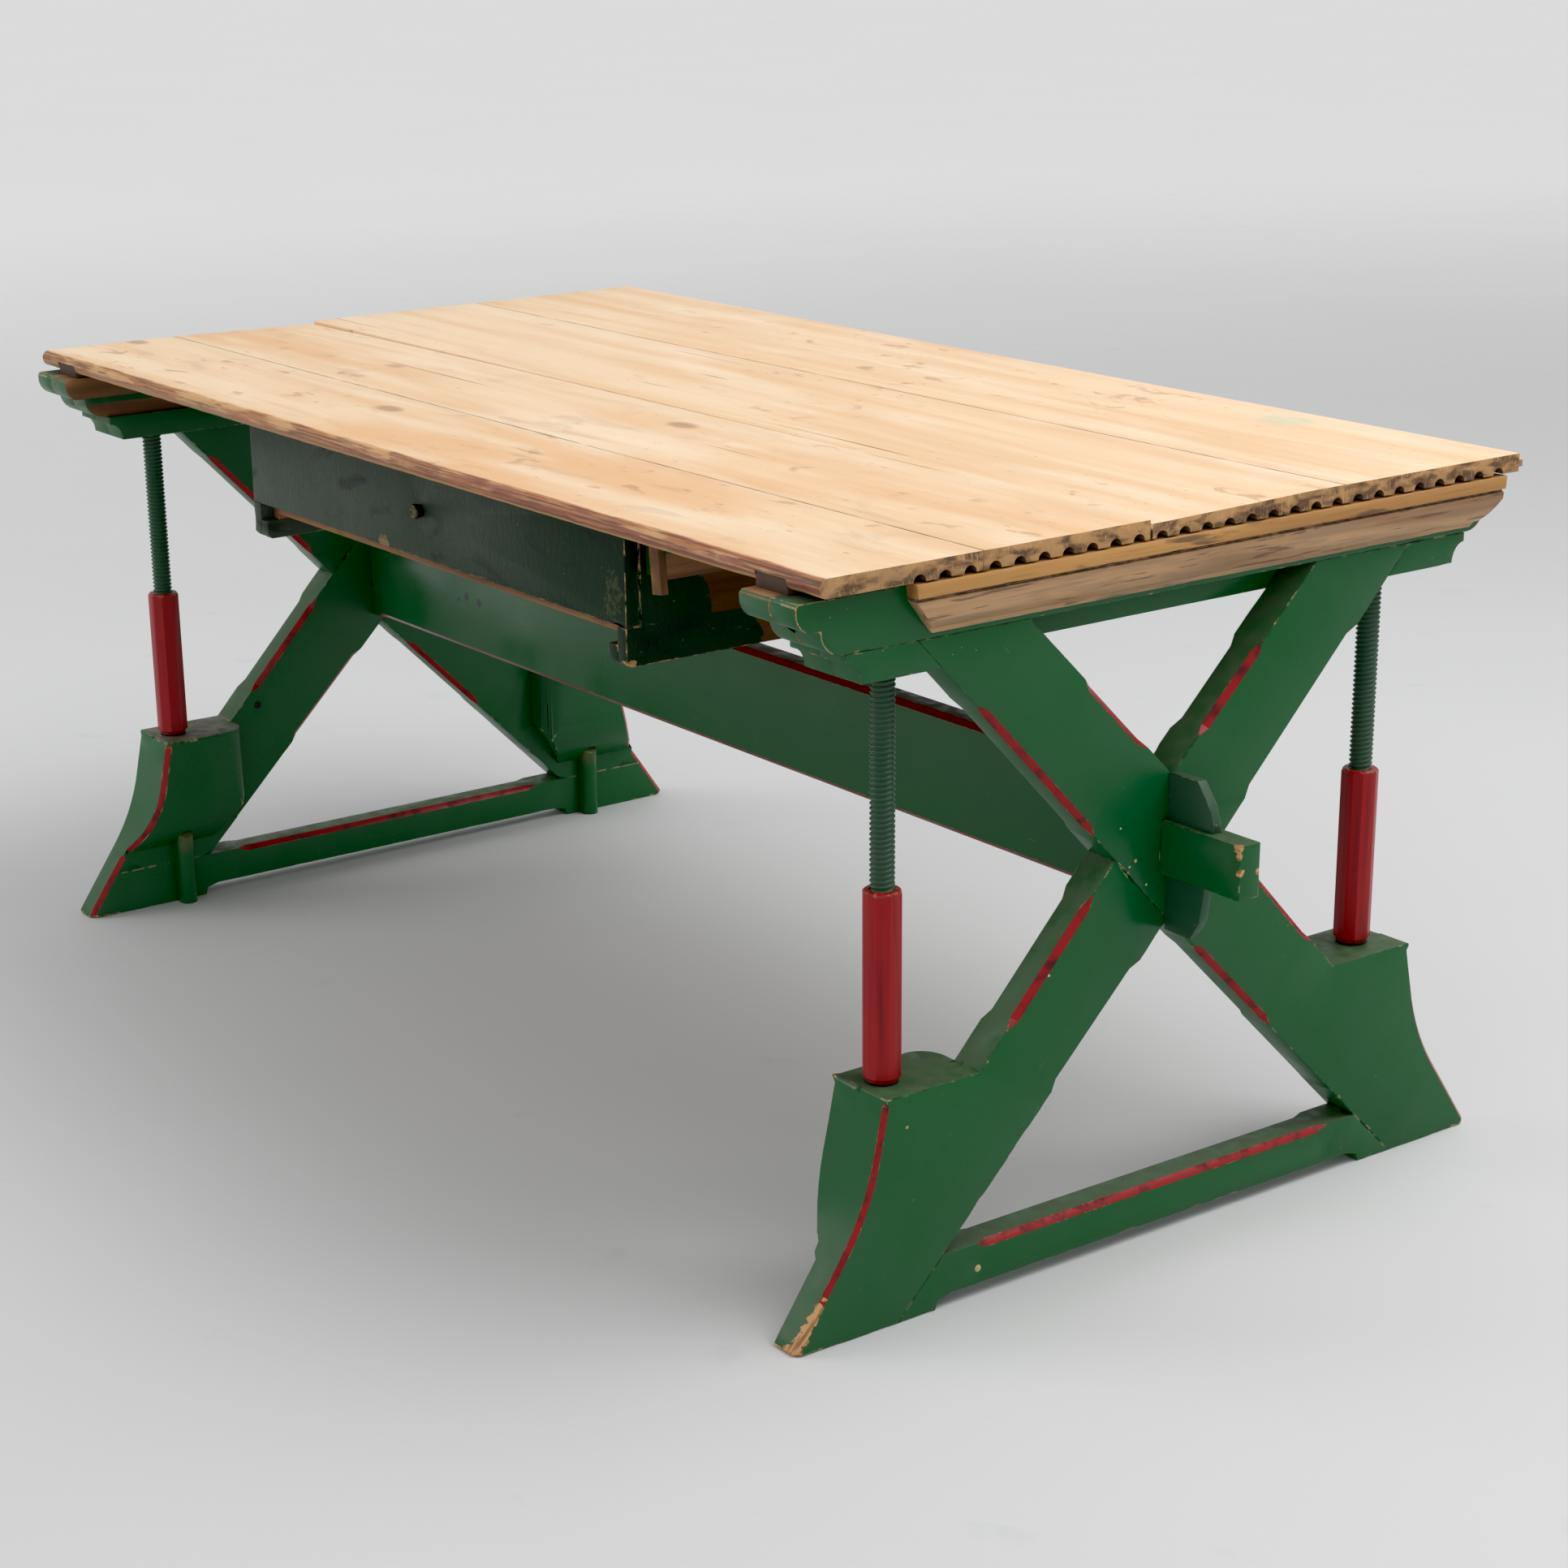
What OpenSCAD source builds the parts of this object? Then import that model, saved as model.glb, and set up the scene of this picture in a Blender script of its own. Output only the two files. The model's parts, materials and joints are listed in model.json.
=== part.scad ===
// Height-adjustable drafting table: two crossed-leg trestles joined by a wedged stretcher.
// Four wooden jack screws lift and tilt a four-board top that carries a hung drawer.
// X runs along the top, Y from the drawer side (-Y) to the back, Z up from the floor.
// The origin is on the floor, midway between the trestles and between the toes.
// Sub-parts are drawn for the +X end and mirrored for the -X end.

/* [Table top] */
// Height of the lowered top above the floor
table_h = 790; // [789:0.5:792]
// Half length of the top
top_x = 863; // [858:1:870]
// Thickness of the top boards
top_t = 20; // [19.5:0.5:21]
// Front edge of the top, ahead of the centre line
top_front = 465; // [464:1:470]
// Back edge of the top, behind the centre line
top_back = 484; // [482:1:486]
// Seam between the first and second board
seam_1 = -270; // [-272:1:-269]
// Centre of the open gap between the second and third board
seam_2 = -54.5; // [-55:0.5:-54]
// Width of that open gap
gap_w = 3; // [2:0.5:4]
// Seam between the third and fourth board
seam_3 = 216; // [215:1:217]
// Number of half-round notches under each end of the top
notch_count = 27; // [5:1:27]
// Spacing of the notches
notch_pitch = 30.7; // [30:0.1:30.8]
// Radius of a notch
notch_r = 7.5; // [5:0.5:8]

/* [Battens] */
// Width of the cross battens under the top
batten_w = 50; // [44:1:54]
// Thickness of the cross battens
batten_t = 16; // [14:1:17]
// How far a batten stands below the boards
batten_proud = 5; // [4:0.5:6]

/* [Trestles] */
// Outer face of each trestle, from the middle of the table
trestle_x = 847; // [840:1:850]
// Thickness of the leg planks
leg_t = 42; // [40:1:44]
// Thickness of the inner layer: foot blocks, bearers and inner rails
inner_t = 47; // [45:1:48]
// Toe tips, from the centre line
toe_y = 490; // [488:1:492]
// Height of the shoulder that carries a nut
shoulder_h = 248; // [244:1:252]
// Front corner of the shoulder
shoulder_y = 372; // [370:1:376]
// Where the leg's upper edge leaves the shoulder
leg_root_y = 252; // [250:1:254]
// Where the leg's lower edge meets the floor
heel_y = 358; // [354:1:362]
// Lowest point of the leg crossing
cross_low = 357; // [355:1:359]
// Highest point of the leg crossing
cross_high = 515; // [513:1:518]
// Half width of the leg crossing
cross_y = 76; // [75:1:78]
// Outer corner of a leg's upper end
leg_top_out = 336; // [334:1:338]
// Inner corner of a leg's upper end
leg_top_in = 196; // [194:1:198]
// Height of the bottom rail
sledge_h = 59; // [56:1:60]
// Height of the relief under the bottom rail
relief_h = 14; // [10:1:16]
// Half length of that relief
relief_y = 308; // [304:1:312]
// Size of the painted chamfers
chamfer = 6.5; // [5:0.5:7]
// Length over which a chamfer fades out at each end
chamfer_stop = 16; // [8:1:24]

/* [Upper rails] */
// Underside of the upper rail, where the legs end
seam_z = 709; // [708:0.5:710]
// Underside of the corbels and bearers
corbel_z = 677; // [676:1:678]
// Lips of the upper rail, from the centre line
rail_y = 480; // [478:1:481]
// Height at which the inner rail changes to the top bar
bar_z = 737; // [736:1:738]
// How far the inner rail is set back behind the bar
inner_recess = 8; // [5:1:10]

/* [Stretcher] */
// Front face of the stretcher
stretcher_front = -13; // [-14:1:-12]
// Thickness of the stretcher
stretcher_t = 36; // [34:1:38]
// Lower edge of the stretcher
stretcher_low = 368; // [366:1:372]
// Upper edge of the stretcher
stretcher_high = 503; // [500:1:506]
// Thickness of its through tenons
tenon_t = 28; // [26:1:30]
// Lower edge of the tenons
tenon_low = 410; // [408:1:412]
// Upper edge of the tenons
tenon_high = 468; // [466:1:470]
// Length of tenon outside the trestle
tenon_out = 114; // [100:1:116]
// Thickness of the locking wedges
wedge_t = 12; // [10:1:14]

/* [Jack screws] */
// Distance of the screws inside the trestle's outer face
screw_inset = 45; // [44:0.5:46]
// Front screws, ahead of the centre line
screw_front = 343; // [342:1:345]
// Back screws, behind the centre line
screw_back = 327; // [325:1:329]
// Outer radius of the thread
screw_r = 12.7; // [12.5:0.1:12.9]
// Depth of the thread
thread_d = 2; // [1.5:0.5:2.5]
// Pitch of the thread
thread_pitch = 5.3; // [5:0.1:8]
// Lower end of a lowered screw
screw_low = 114; // [114:1:125]
// Width of the octagonal nut across its flats
nut_af = 38; // [36:1:40]
// Top of the nut
nut_top = 451; // [440:1:455]

/* [Drawer] */
// Half width of the drawer front
front_x = 422; // [418:1:424]
// Face of the drawer front, ahead of the centre line
front_y = 385; // [380:1:388]
// Thickness of the drawer front
front_t = 18; // [16:1:20]
// Lower edge of the drawer front
front_low = 645; // [643:1:648]
// Underside of the hanger and its runner
hanger_low = 602; // [600:1:604]
// Thickness of the hanger side
hanger_t = 17; // [16:1:18]
// Height of the runner ledge
ledge_h = 22; // [20:1:23]
// Reach of the runner ledge past the hanger side
ledge_w = 17; // [16:1:20]
// Back end of the hanger
hanger_back = 85; // [80:1:95]
// Width of a cleat
cleat_w = 38; // [34:1:40]
// Height of a cleat
cleat_h = 70; // [66:1:72]

/* [Hidden] */
$fn = 48;

// heights that follow from the driving dimensions
board_z = table_h - top_t;
rail_z = board_z - batten_proud;
cross_mid = (cross_low + cross_high) / 2 + 1;

// planes of the trestle's layers
leg_in = trestle_x - leg_t;
block_in = leg_in - inner_t;
lap_x = trestle_x - leg_t / 2;
screw_x = trestle_x - screw_inset;
batten_past_screw = 10;
batten_x = screw_x + batten_past_screw - batten_w;
bore_floor = screw_low - 4;

// clearances
touch = 0.5;          // gap under a part that lifts or slides
slide_gap = 1;        // side gap of the drawer
thread_gap = 0.08;    // radial clearance of the screw in its nut
bore_gap = 0.8;       // radial clearance of the screw in the wood
butt_gap = 0.1;       // gap where the bottom rail butts against a slanted leg
cut = 1;              // how far a cutter passes a face
red = [0.62, 0.10, 0.13];
green = [0.13, 0.36, 0.21];
pine = [0.88, 0.74, 0.55];
raw = [0.55, 0.33, 0.17];

// ---------- helpers ----------

// extrude a drawing of (Y, Z) points along X, from x0 to x1
module slab(x0, x1) {
    translate([x0, 0, 0])
        rotate([90, 0, 90])
            linear_extrude(x1 - x0)
                children();
}

// box from two corners
module box(low, high) {
    translate(low)
        cube(high - low);
}

// cutter for a chamfer along Z whose plane rises to a point on the arris at both ends;
// the piece lies on the -X and -Y side
chamfer_clear = 1;
module chamfer_bar(length) {
    depth = chamfer / sqrt(2);
    past = chamfer_clear * chamfer_stop / depth;
    rotate([0, 0, 45])
        rotate([90, 0, 0])
            linear_extrude(2.5 * chamfer, center = true)
                polygon([[-depth, chamfer_stop], [-depth, length - chamfer_stop],
                         [chamfer_clear, length + past], [chamfer_clear, -past]]);
}

// cut a chamfer along the arris from p0 to p1, points (Y, Z) in the plane X = x,
// with the piece to the left of that run
module arris_cut(p0, p1, x) {
    run = p1 - p0;
    inner = x < lap_x ? 1 : 0;
    translate([x, p0[0], p0[1]])
        rotate([atan2(run[1], run[0]) - 90, 0, 0])
            mirror([inner, 0, 0])
                chamfer_bar(norm(run));
}

// the same, over the fraction from a to b of an edge and on both faces of the leg
module edge_chamfers(p0, p1, a, b) {
    for (x = [leg_in, trestle_x])
        arris_cut(p0 + (p1 - p0) * a, p0 + (p1 - p0) * b, x);
}

// swap front and back of an outline
function flip(points) = [for (i = [len(points) - 1:-1:0]) [-points[i][0], points[i][1]]];

// ---------- trestle outlines, as (Y, Z) points of the front half ----------

// front edge of a foot: nearly upright under the shoulder, then a hollow sweep to the toe
sweep_r = 265;
sweep_from = 14;
sweep_to = 35.5;
sweep_y = shoulder_y + 15;
sweep_z = shoulder_h - 70;
toe_h = 7;
function foot_edge() = concat(
    [[-shoulder_y, shoulder_h]],
    [for (i = [0:6])
        let (a = sweep_from + (sweep_to - sweep_from) * i / 6)
            [-sweep_y - sweep_r * (cos(sweep_from) - cos(a)),
             sweep_z - sweep_r * (sin(a) - sin(sweep_from))]],
    [[-toe_y + 5, toe_h], [-toe_y, 0]]);

// one leg with its foot at the front and its head at the back
function leg_outline() = concat(
    [[-heel_y, 0], [0, cross_low], [cross_y, cross_mid], [leg_top_out, seam_z],
     [leg_top_in, seam_z], [0, cross_high], [-cross_y, cross_mid], [-leg_root_y, shoulder_h]],
    foot_edge());

// area where the two legs of a trestle cross
module crossing() {
    polygon([[0, cross_low], [cross_y, cross_mid], [0, cross_high], [-cross_y, cross_mid]]);
}

// bottom rail with its relief; the ends run out to the toes
relief_run = 20;
module sledge() {
    half = concat(foot_edge(), [[-relief_y, 0], [-relief_y + 3, relief_h - 4],
                                [-relief_y + relief_run, relief_h]]);
    intersection() {
        polygon(concat(half, flip(half)));
        translate([-toe_y, 0])
            square([2 * toe_y, sledge_h]);
    }
}

// moulded end of the upper rail: two quarter rounds with a small step between them
low_round = 26;
high_round = 21;
round_step = 7.5;
function rail_end() = concat(
    [for (a = [0:15:90])
        [-rail_y + high_round + round_step + low_round * (1 - sin(a)),
         seam_z + low_round * (1 - cos(a))]],
    [for (a = [0:15:90])
        [-rail_y + high_round * (1 - sin(a)), seam_z + low_round + high_round * (1 - cos(a))]],
    [[-rail_y, rail_z - 3], [-rail_y + 3, rail_z]]);

// lower part of the moulded end: a fillet above a hollow
cove_w = 17.5;
cove_h = 22;
cove_y = 421.5;
function cove_end() = concat(
    [for (t = [90:-15:0])
        [-cove_y + cove_w * sin(t), corbel_z + cove_h * cos(t)]],
    [[-cove_y, seam_z]]);

// ---------- trestle ----------

module screw_bores(low, high) {
    for (y = [-screw_front, screw_back])
        translate([screw_x, y, low])
            cylinder(r = screw_r + bore_gap, h = high - low);
}

module mortise() {
    box([leg_in - cut, stretcher_front, tenon_low],
        [trestle_x + cut, stretcher_front + tenon_t, tenon_high]);
}

// one leg, drawn with its foot at the front; lap_low and lap_high bound the half cut away
module leg_blank(lap_low, lap_high) {
    difference() {
        slab(leg_in, trestle_x)
            polygon(leg_outline());
        slab(lap_low, lap_high)
            crossing();
        // halving for the bottom rail, which fills the inner half of the foot
        box([leg_in - cut, -toe_y - cut, -cut], [lap_x, 0, sledge_h]);
        edge_chamfers([-cross_y, cross_mid], [-leg_root_y, shoulder_h], 0.16, 0.81);
        edge_chamfers([-heel_y, 0], [0, cross_low], 0.56, 0.90);
        edge_chamfers([leg_top_in, seam_z], [0, cross_high], 0.37, 0.83);
        edge_chamfers([cross_y, cross_mid], [leg_top_out, seam_z], 0.11, 0.72);
    }
}

module leg_front() {
    color(green)
        difference() {
            leg_blank(lap_x, trestle_x + cut);
            mortise();
            screw_bores(bore_floor, seam_z + cut);
        }
}

module leg_rear() {
    color(green)
        difference() {
            mirror([0, 1, 0])
                leg_blank(leg_in - cut, lap_x);
            mortise();
            screw_bores(bore_floor, seam_z + cut);
        }
}

// block glued to the inner face of a foot, with a belly that fades into the leg
block_back = 250;
block_corner_z = 153;
block_foot_y = 305;
block_foot_z = 66;
belly_z = shoulder_h - 70;
belly_r = 115;
block_round = 30;
peg_r = 12;
peg_y = 342;
peg_x = leg_in - peg_r;
module foot_block(side, screw_y) {
    color(green)
        difference() {
            on_side(side)
                intersection() {
                    slab(block_in, leg_in)
                        polygon(concat([[-block_back, shoulder_h]], foot_edge(),
                            [[-block_foot_y, 0], [-block_foot_y, block_foot_z],
                             [-block_back, block_corner_z]]));
                    union() {
                        box([block_in, -toe_y, belly_z], [leg_in, 0, shoulder_h]);
                        translate([block_in + belly_r, 0, belly_z])
                            rotate([90, 0, 0])
                                cylinder(r = belly_r, h = toe_y, $fn = 96);
                    }
                }
            on_side(side)
                block_corner();
            translate([screw_x, screw_y, bore_floor])
                cylinder(r = screw_r + bore_gap, h = shoulder_h);
            peg_blank(side * peg_y, -cut, peg_h, cut);
        }
}

// rounds the rear inner corner of a foot block in plan
module block_corner() {
    difference() {
        box([block_in - cut, -block_back - block_round, -cut],
            [block_in + block_round, -block_back + 2 * cut, shoulder_h + cut]);
        translate([block_in + block_round, -block_back - block_round, -2 * cut])
            cylinder(r = block_round, h = shoulder_h + 4 * cut);
    }
}

// keeps a front sub-part as drawn for side -1 and mirrors it to the back for side 1
module on_side(side) {
    if (side < 0)
        children();
    else
        mirror([0, 1, 0])
            children();
}

module bottom_rail() {
    edge = 255;
    heel = heel_y - butt_gap;
    heel_top = heel_y * (1 - sledge_h / cross_low) - butt_gap;
    color(green)
        difference() {
            slab(leg_in, trestle_x)
                sledge();
            // outside the halving the rail butts against the slanted legs
            for (side = [-1, 1])
                slab(lap_x, trestle_x + cut)
                    polygon([[side * heel_top, sledge_h], [side * heel, 0],
                             [side * heel, -cut], [side * (toe_y + cut), -cut],
                             [side * (toe_y + cut), sledge_h + cut], [side * heel_top, sledge_h + cut]]);
            for (x = [leg_in, trestle_x])
                arris_cut([edge, sledge_h], [-edge, sledge_h], x);
            dowels(cut);
        }
}

// dowels that pin the bottom rail near each foot
dowel_r = 4;
dowel_y = 252;
dowel_z = 31;
dowel_len = 20;
module dowels(over) {
    for (y = [-dowel_y, dowel_y])
        translate([trestle_x - dowel_len, y, dowel_z])
            rotate([0, 90, 0])
                cylinder(r = dowel_r, h = dowel_len + over, $fn = 24);
}

module rail_dowels() {
    color(pine)
        both_ends()
            dowels(0);
}

// round-nosed peg, flat on the side that stands against the foot and the bottom rail
peg_h = 108;
module peg_blank(y, low, high, over) {
    translate([peg_x, y, low])
        cylinder(r = peg_r, h = high - low);
    box([peg_x, y - peg_r, low], [leg_in + over, y + peg_r, high]);
}

// the pegs have sloping tops
module foot_pegs() {
    top_drop = 20;
    color(green)
        both_ends()
            for (y = [-peg_y, peg_y])
                difference() {
                    peg_blank(y, 0, peg_h, 0);
                    translate([peg_x - 2 * peg_r, y - 2 * peg_r, peg_h - top_drop])
                        rotate([0, -40, 0])
                            cube([4 * peg_r, 4 * peg_r, 4 * peg_r]);
                }
}

module both_ends() {
    children();
    mirror([1, 0, 0])
        children();
}

module rail_outer() {
    color(green)
        difference() {
            slab(leg_in, trestle_x)
                polygon(concat(rail_end(), flip(rail_end())));
            screw_bores(seam_z - cut, rail_z + cut);
        }
}

// part of the moulded rail between two heights
module rail_layer(x0, low, high) {
    difference() {
        slab(x0, leg_in)
            intersection() {
                polygon(concat(rail_end(), flip(rail_end())));
                translate([-toe_y, low])
                    square([2 * toe_y, high - low]);
            }
        screw_bores(low - cut, high + cut);
    }
}

module rail_inner() {
    color(raw)
        rail_layer(block_in + inner_recess, seam_z, bar_z);
}

module rail_bar() {
    color(raw)
        rail_layer(block_in, bar_z, rail_z);
}

// inner bearer that runs past the leg heads
module bearer() {
    color(green)
        difference() {
            slab(block_in, leg_in)
                polygon(concat(cove_end(), flip(cove_end())));
            screw_bores(corbel_z - cut, seam_z + cut);
        }
}

// corbel outside a leg head
module corbel(side) {
    leg_slope = (leg_top_out - cross_y) / (seam_z - cross_mid);
    color(green)
        difference() {
            on_side(side)
                slab(leg_in, trestle_x)
                    polygon(concat(cove_end(),
                        [[-leg_top_out, seam_z],
                         [-leg_top_out + leg_slope * (seam_z - corbel_z), corbel_z]]));
            screw_bores(corbel_z - cut, seam_z + cut);
        }
}

// applied moulding under the overhang: a square fillet over a hollow
module end_moulding() {
    mould_t = 18;
    mould_h = 53;
    top = board_z - 2;
    face = trestle_x + mould_t;
    color([0.72, 0.47, 0.20])
        intersection() {
            translate([0, rail_y, 0])
                rotate([90, 0, 0])
                    linear_extrude(2 * rail_y)
                        polygon(concat(
                            [[trestle_x, top - mould_h], [trestle_x + 4, top - mould_h]],
                            [for (a = [0:15:90])
                                [trestle_x + 4 + 11 * sin(a), top - 28 - 20 * cos(a)]],
                            [[face - 3, top - 18], [face - 6, top - 17], [face - 6, top - 14],
                             [face, top - 14], [face, top], [trestle_x, top]]));
            slab(trestle_x, face)
                polygon([[-352, top], [-349, top - 18], [-322, top - mould_h],
                         [424, top - mould_h], [446, top - 38], [463, top - 25], [465, top]]);
        }
}

// ---------- stretcher ----------

// outline of a wedge in the (X, Z) plane: upright against the leg, tapered outside
wedge_low = 347;
wedge_high = 518;
function wedge_outline() = [
    [trestle_x, wedge_low], [trestle_x + 39, wedge_low], [trestle_x + 51, wedge_low + 22],
    [trestle_x + 68, wedge_high - 41], [trestle_x + 60, wedge_high - 24],
    [trestle_x + 42, wedge_high], [trestle_x, wedge_high]];

module wedge_body() {
    translate([0, stretcher_front + (tenon_t + wedge_t) / 2, 0])
        rotate([90, 0, 0])
            linear_extrude(wedge_t)
                polygon(wedge_outline());
}

module wedge() {
    color(green)
        wedge_body();
}

// the stretcher's chamfers stop this far from the trestles
stretcher_edge = 12;
module stretcher() {
    tenon_x = trestle_x + tenon_out;
    back = stretcher_front + stretcher_t;
    run = leg_in - stretcher_edge;
    color(green)
        difference() {
            union() {
                box([-leg_in, stretcher_front, stretcher_low], [leg_in, back, stretcher_high]);
                box([-tenon_x, stretcher_front, tenon_low],
                    [tenon_x, stretcher_front + tenon_t, tenon_high]);
            }
            both_ends()
                wedge_body();
            // painted chamfers on the four long edges
            for (y = [stretcher_front, back], z = [stretcher_low, stretcher_high])
                translate([-run, y, z])
                    rotate([0, 90, 0])
                        mirror([z > stretcher_low ? 1 : 0, 0, 0])
                            mirror([0, y < back ? 1 : 0, 0])
                                chamfer_bar(2 * run);
        }
}

// ---------- jack screws ----------

// thread drawn as rings, on a rod with a domed tip
tip_r = 7.7;
module screw(y) {
    tip_z = rail_z - touch;
    first = screw_low + thread_pitch;
    turns = floor((tip_z - 12 - first) / thread_pitch);
    core = screw_r - thread_d;
    ridge = thread_pitch / 2;
    color(green)
        translate([screw_x, y, 0])
            rotate_extrude()
                polygon(concat(
                    [[0, screw_low], [core - 2, screw_low], [core, screw_low + 2]],
                    [for (i = [0:turns - 1], p = [[core, 0], [screw_r, 1], [screw_r, 2]])
                        [p[0], first + i * thread_pitch + p[1] * ridge / 2]],
                    [[core, first + turns * thread_pitch], [core, tip_z - 3],
                     [tip_r, tip_z], [0, tip_z]]));
}

// octagonal nut that turns on the shoulder of a foot
nut_foot_r = 17.5;
nut_foot_h = 5;
module nut(y) {
    low = shoulder_h + nut_foot_h;
    color(red)
        translate([screw_x, y, 0])
            difference() {
                union() {
                    translate([0, 0, shoulder_h])
                        cylinder(r = nut_foot_r, h = nut_foot_h);
                    translate([0, 0, low])
                        rotate([0, 0, 22.5])
                            cylinder(r = nut_af / 2 / cos(22.5), h = nut_top - low, $fn = 8);
                }
                translate([0, 0, shoulder_h - cut])
                    cylinder(r = screw_r + thread_gap, h = nut_top);
            }
}

// ---------- top ----------

nose_r = top_t / 2;
first_notch = -347;
notch_depth = 26;

// half-round notches in the lower edge at both ends
module notches() {
    both_ends()
        for (i = [0:notch_count - 1])
            translate([top_x - notch_depth, first_notch + i * notch_pitch, board_z])
                rotate([0, 90, 0])
                    cylinder(r = notch_r, h = notch_depth + cut, $fn = 24);
}

// grooves that the battens are let into
module batten_grooves() {
    both_ends()
        box([batten_x, -top_front - cut, board_z - cut],
            [batten_x + batten_w, batten_end, board_z + batten_t - batten_proud]);
}
batten_end = top_back - 6;

module board(y0, y1) {
    color(pine)
        difference() {
            box([-top_x, y0, board_z], [top_x, y1, table_h]);
            notches();
            batten_grooves();
        }
}

// the first board has a rounded nose along the front
module top_board_1() {
    color(pine)
        difference() {
            slab(-top_x, top_x) {
                translate([-top_front + nose_r, board_z])
                    square([seam_1 + top_front - nose_r, top_t]);
                translate([-top_front + nose_r, board_z + nose_r])
                    circle(r = nose_r);
            }
            notches();
            batten_grooves();
        }
}

module top_board_2() {
    board(seam_1, seam_2 - gap_w / 2);
}

module top_board_3() {
    board(seam_2 + gap_w / 2, seam_3);
}

// the last board keeps the tongue of its joint along the back
module top_board_4() {
    tongue = 5;
    board(seam_3, top_back);
    color(pine)
        box([-top_x, top_back, board_z + tongue], [top_x, top_back + tongue, table_h - 7]);
}

module batten() {
    color(raw)
        box([batten_x, -top_front + 2, rail_z],
            [batten_x + batten_w, batten_end, rail_z + batten_t]);
}

// ---------- drawer and its hangers ----------

hanger_out = front_x;
hanger_in = hanger_out - hanger_t;

// side board, rebated at the front so that the drawer front closes flush
module hanger() {
    toe = 6;
    color([0.10, 0.22, 0.15])
        slab(hanger_in, hanger_out)
            polygon([[-front_y + toe, hanger_low], [hanger_back, hanger_low],
                     [hanger_back, board_z], [-front_y + front_t, board_z],
                     [-front_y + front_t, front_low], [-front_y, front_low],
                     [-front_y, hanger_low + toe]]);
}

// ledge that the drawer slides on
module runner() {
    toe = 6;
    color([0.10, 0.22, 0.15])
        slab(hanger_in - ledge_w, hanger_in)
            polygon([[-front_y + toe, hanger_low], [hanger_back, hanger_low],
                     [hanger_back, hanger_low + ledge_h], [-front_y, hanger_low + ledge_h],
                     [-front_y, hanger_low + toe]]);
}

cleat_front = -front_y + 27;
module cleat() {
    color(raw)
        box([hanger_out, cleat_front, board_z - cleat_h],
            [hanger_out + cleat_w, hanger_back - 5, board_z]);
}

// loose stick nailed to the front end of the right cleat
module stop_stick() {
    stick = [17, 9, 84];
    color(raw)
        translate([hanger_out + 14, cleat_front - stick[1], board_z - 3])
            rotate([0, -7, 0])
                translate([0, 0, -stick[2]])
                    cube(stick);
}

side_t = 14;
drawer_low = hanger_low + ledge_h + touch;
drawer_high = board_z - 10;
drawer_back_y = 70;

module drawer_front() {
    color([0.14, 0.24, 0.22])
        difference() {
            box([-front_x, -front_y, front_low + touch],
                [front_x, -front_y + front_t, board_z - 2]);
            knob_shank();
        }
}

module drawer_side() {
    color(raw)
        box([hanger_in - slide_gap - side_t, -front_y + front_t, drawer_low],
            [hanger_in - slide_gap, drawer_back_y, drawer_high]);
}

module drawer_back() {
    half = hanger_in - slide_gap - side_t;
    color(raw)
        box([-half, drawer_back_y - side_t, drawer_low + 14], [half, drawer_back_y, drawer_high]);
}

module drawer_bottom() {
    half = hanger_in - slide_gap - side_t;
    bottom_t = 7;
    color(raw)
        box([-half, -front_y + front_t, drawer_low + 7],
            [half, drawer_back_y, drawer_low + 7 + bottom_t]);
}

knob_z = 702;
module knob_shank() {
    translate([0, -front_y + 12, knob_z])
        rotate([90, 0, 0])
            cylinder(r = 3, h = 12 + cut, $fn = 24);
}

// turned knob with a domed face
module drawer_knob() {
    color([0.25, 0.20, 0.12])
        translate([0, -front_y, knob_z])
            rotate([90, 0, 0])
                rotate_extrude()
                    polygon(concat(
                        [[0, -12], [3, -12], [3, 0], [5, 0], [4.5, 4]],
                        [for (a = [0:15:90]) [9 * cos(a), 7 + 4 * sin(a)]]));
}

// ---------- the assembly ----------

module right() {
    children();
}

module left() {
    mirror([1, 0, 0])
        children();
}

right() leg_front();  // leg_front_right
right() leg_rear();  // leg_rear_right
left() leg_front();  // leg_front_left
left() leg_rear();  // leg_rear_left
right() foot_block(-1, -screw_front);  // foot_block_front_right
right() foot_block(1, screw_back);  // foot_block_rear_right
left() foot_block(-1, -screw_front);  // foot_block_front_left
left() foot_block(1, screw_back);  // foot_block_rear_left
right() bottom_rail();  // bottom_rail_right
left() bottom_rail();  // bottom_rail_left
right() rail_outer();  // rail_outer_right
left() rail_outer();  // rail_outer_left
right() rail_inner();  // rail_inner_right
left() rail_inner();  // rail_inner_left
right() rail_bar();  // rail_bar_right
left() rail_bar();  // rail_bar_left
right() bearer();  // bearer_right
left() bearer();  // bearer_left
right() corbel(-1);  // corbel_front_right
right() corbel(1);  // corbel_rear_right
left() corbel(-1);  // corbel_front_left
left() corbel(1);  // corbel_rear_left
right() end_moulding();  // end_moulding_right
left() end_moulding();  // end_moulding_left
foot_pegs();
rail_dowels();
stretcher();
right() wedge();  // wedge_right
left() wedge();  // wedge_left
right() screw(-screw_front);  // screw_front_right
right() screw(screw_back);  // screw_rear_right
left() screw(-screw_front);  // screw_front_left
left() screw(screw_back);  // screw_rear_left
right() nut(-screw_front);  // nut_front_right
right() nut(screw_back);  // nut_rear_right
left() nut(-screw_front);  // nut_front_left
left() nut(screw_back);  // nut_rear_left
top_board_1();
top_board_2();
top_board_3();
top_board_4();
right() batten();  // batten_right
left() batten();  // batten_left
right() hanger();  // hanger_right
left() hanger();  // hanger_left
right() runner();  // runner_right
left() runner();  // runner_left
right() cleat();  // cleat_right
left() cleat();  // cleat_left
stop_stick();
drawer_front();
right() drawer_side();  // drawer_side_right
left() drawer_side();  // drawer_side_left
drawer_back();
drawer_bottom();
drawer_knob();
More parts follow.
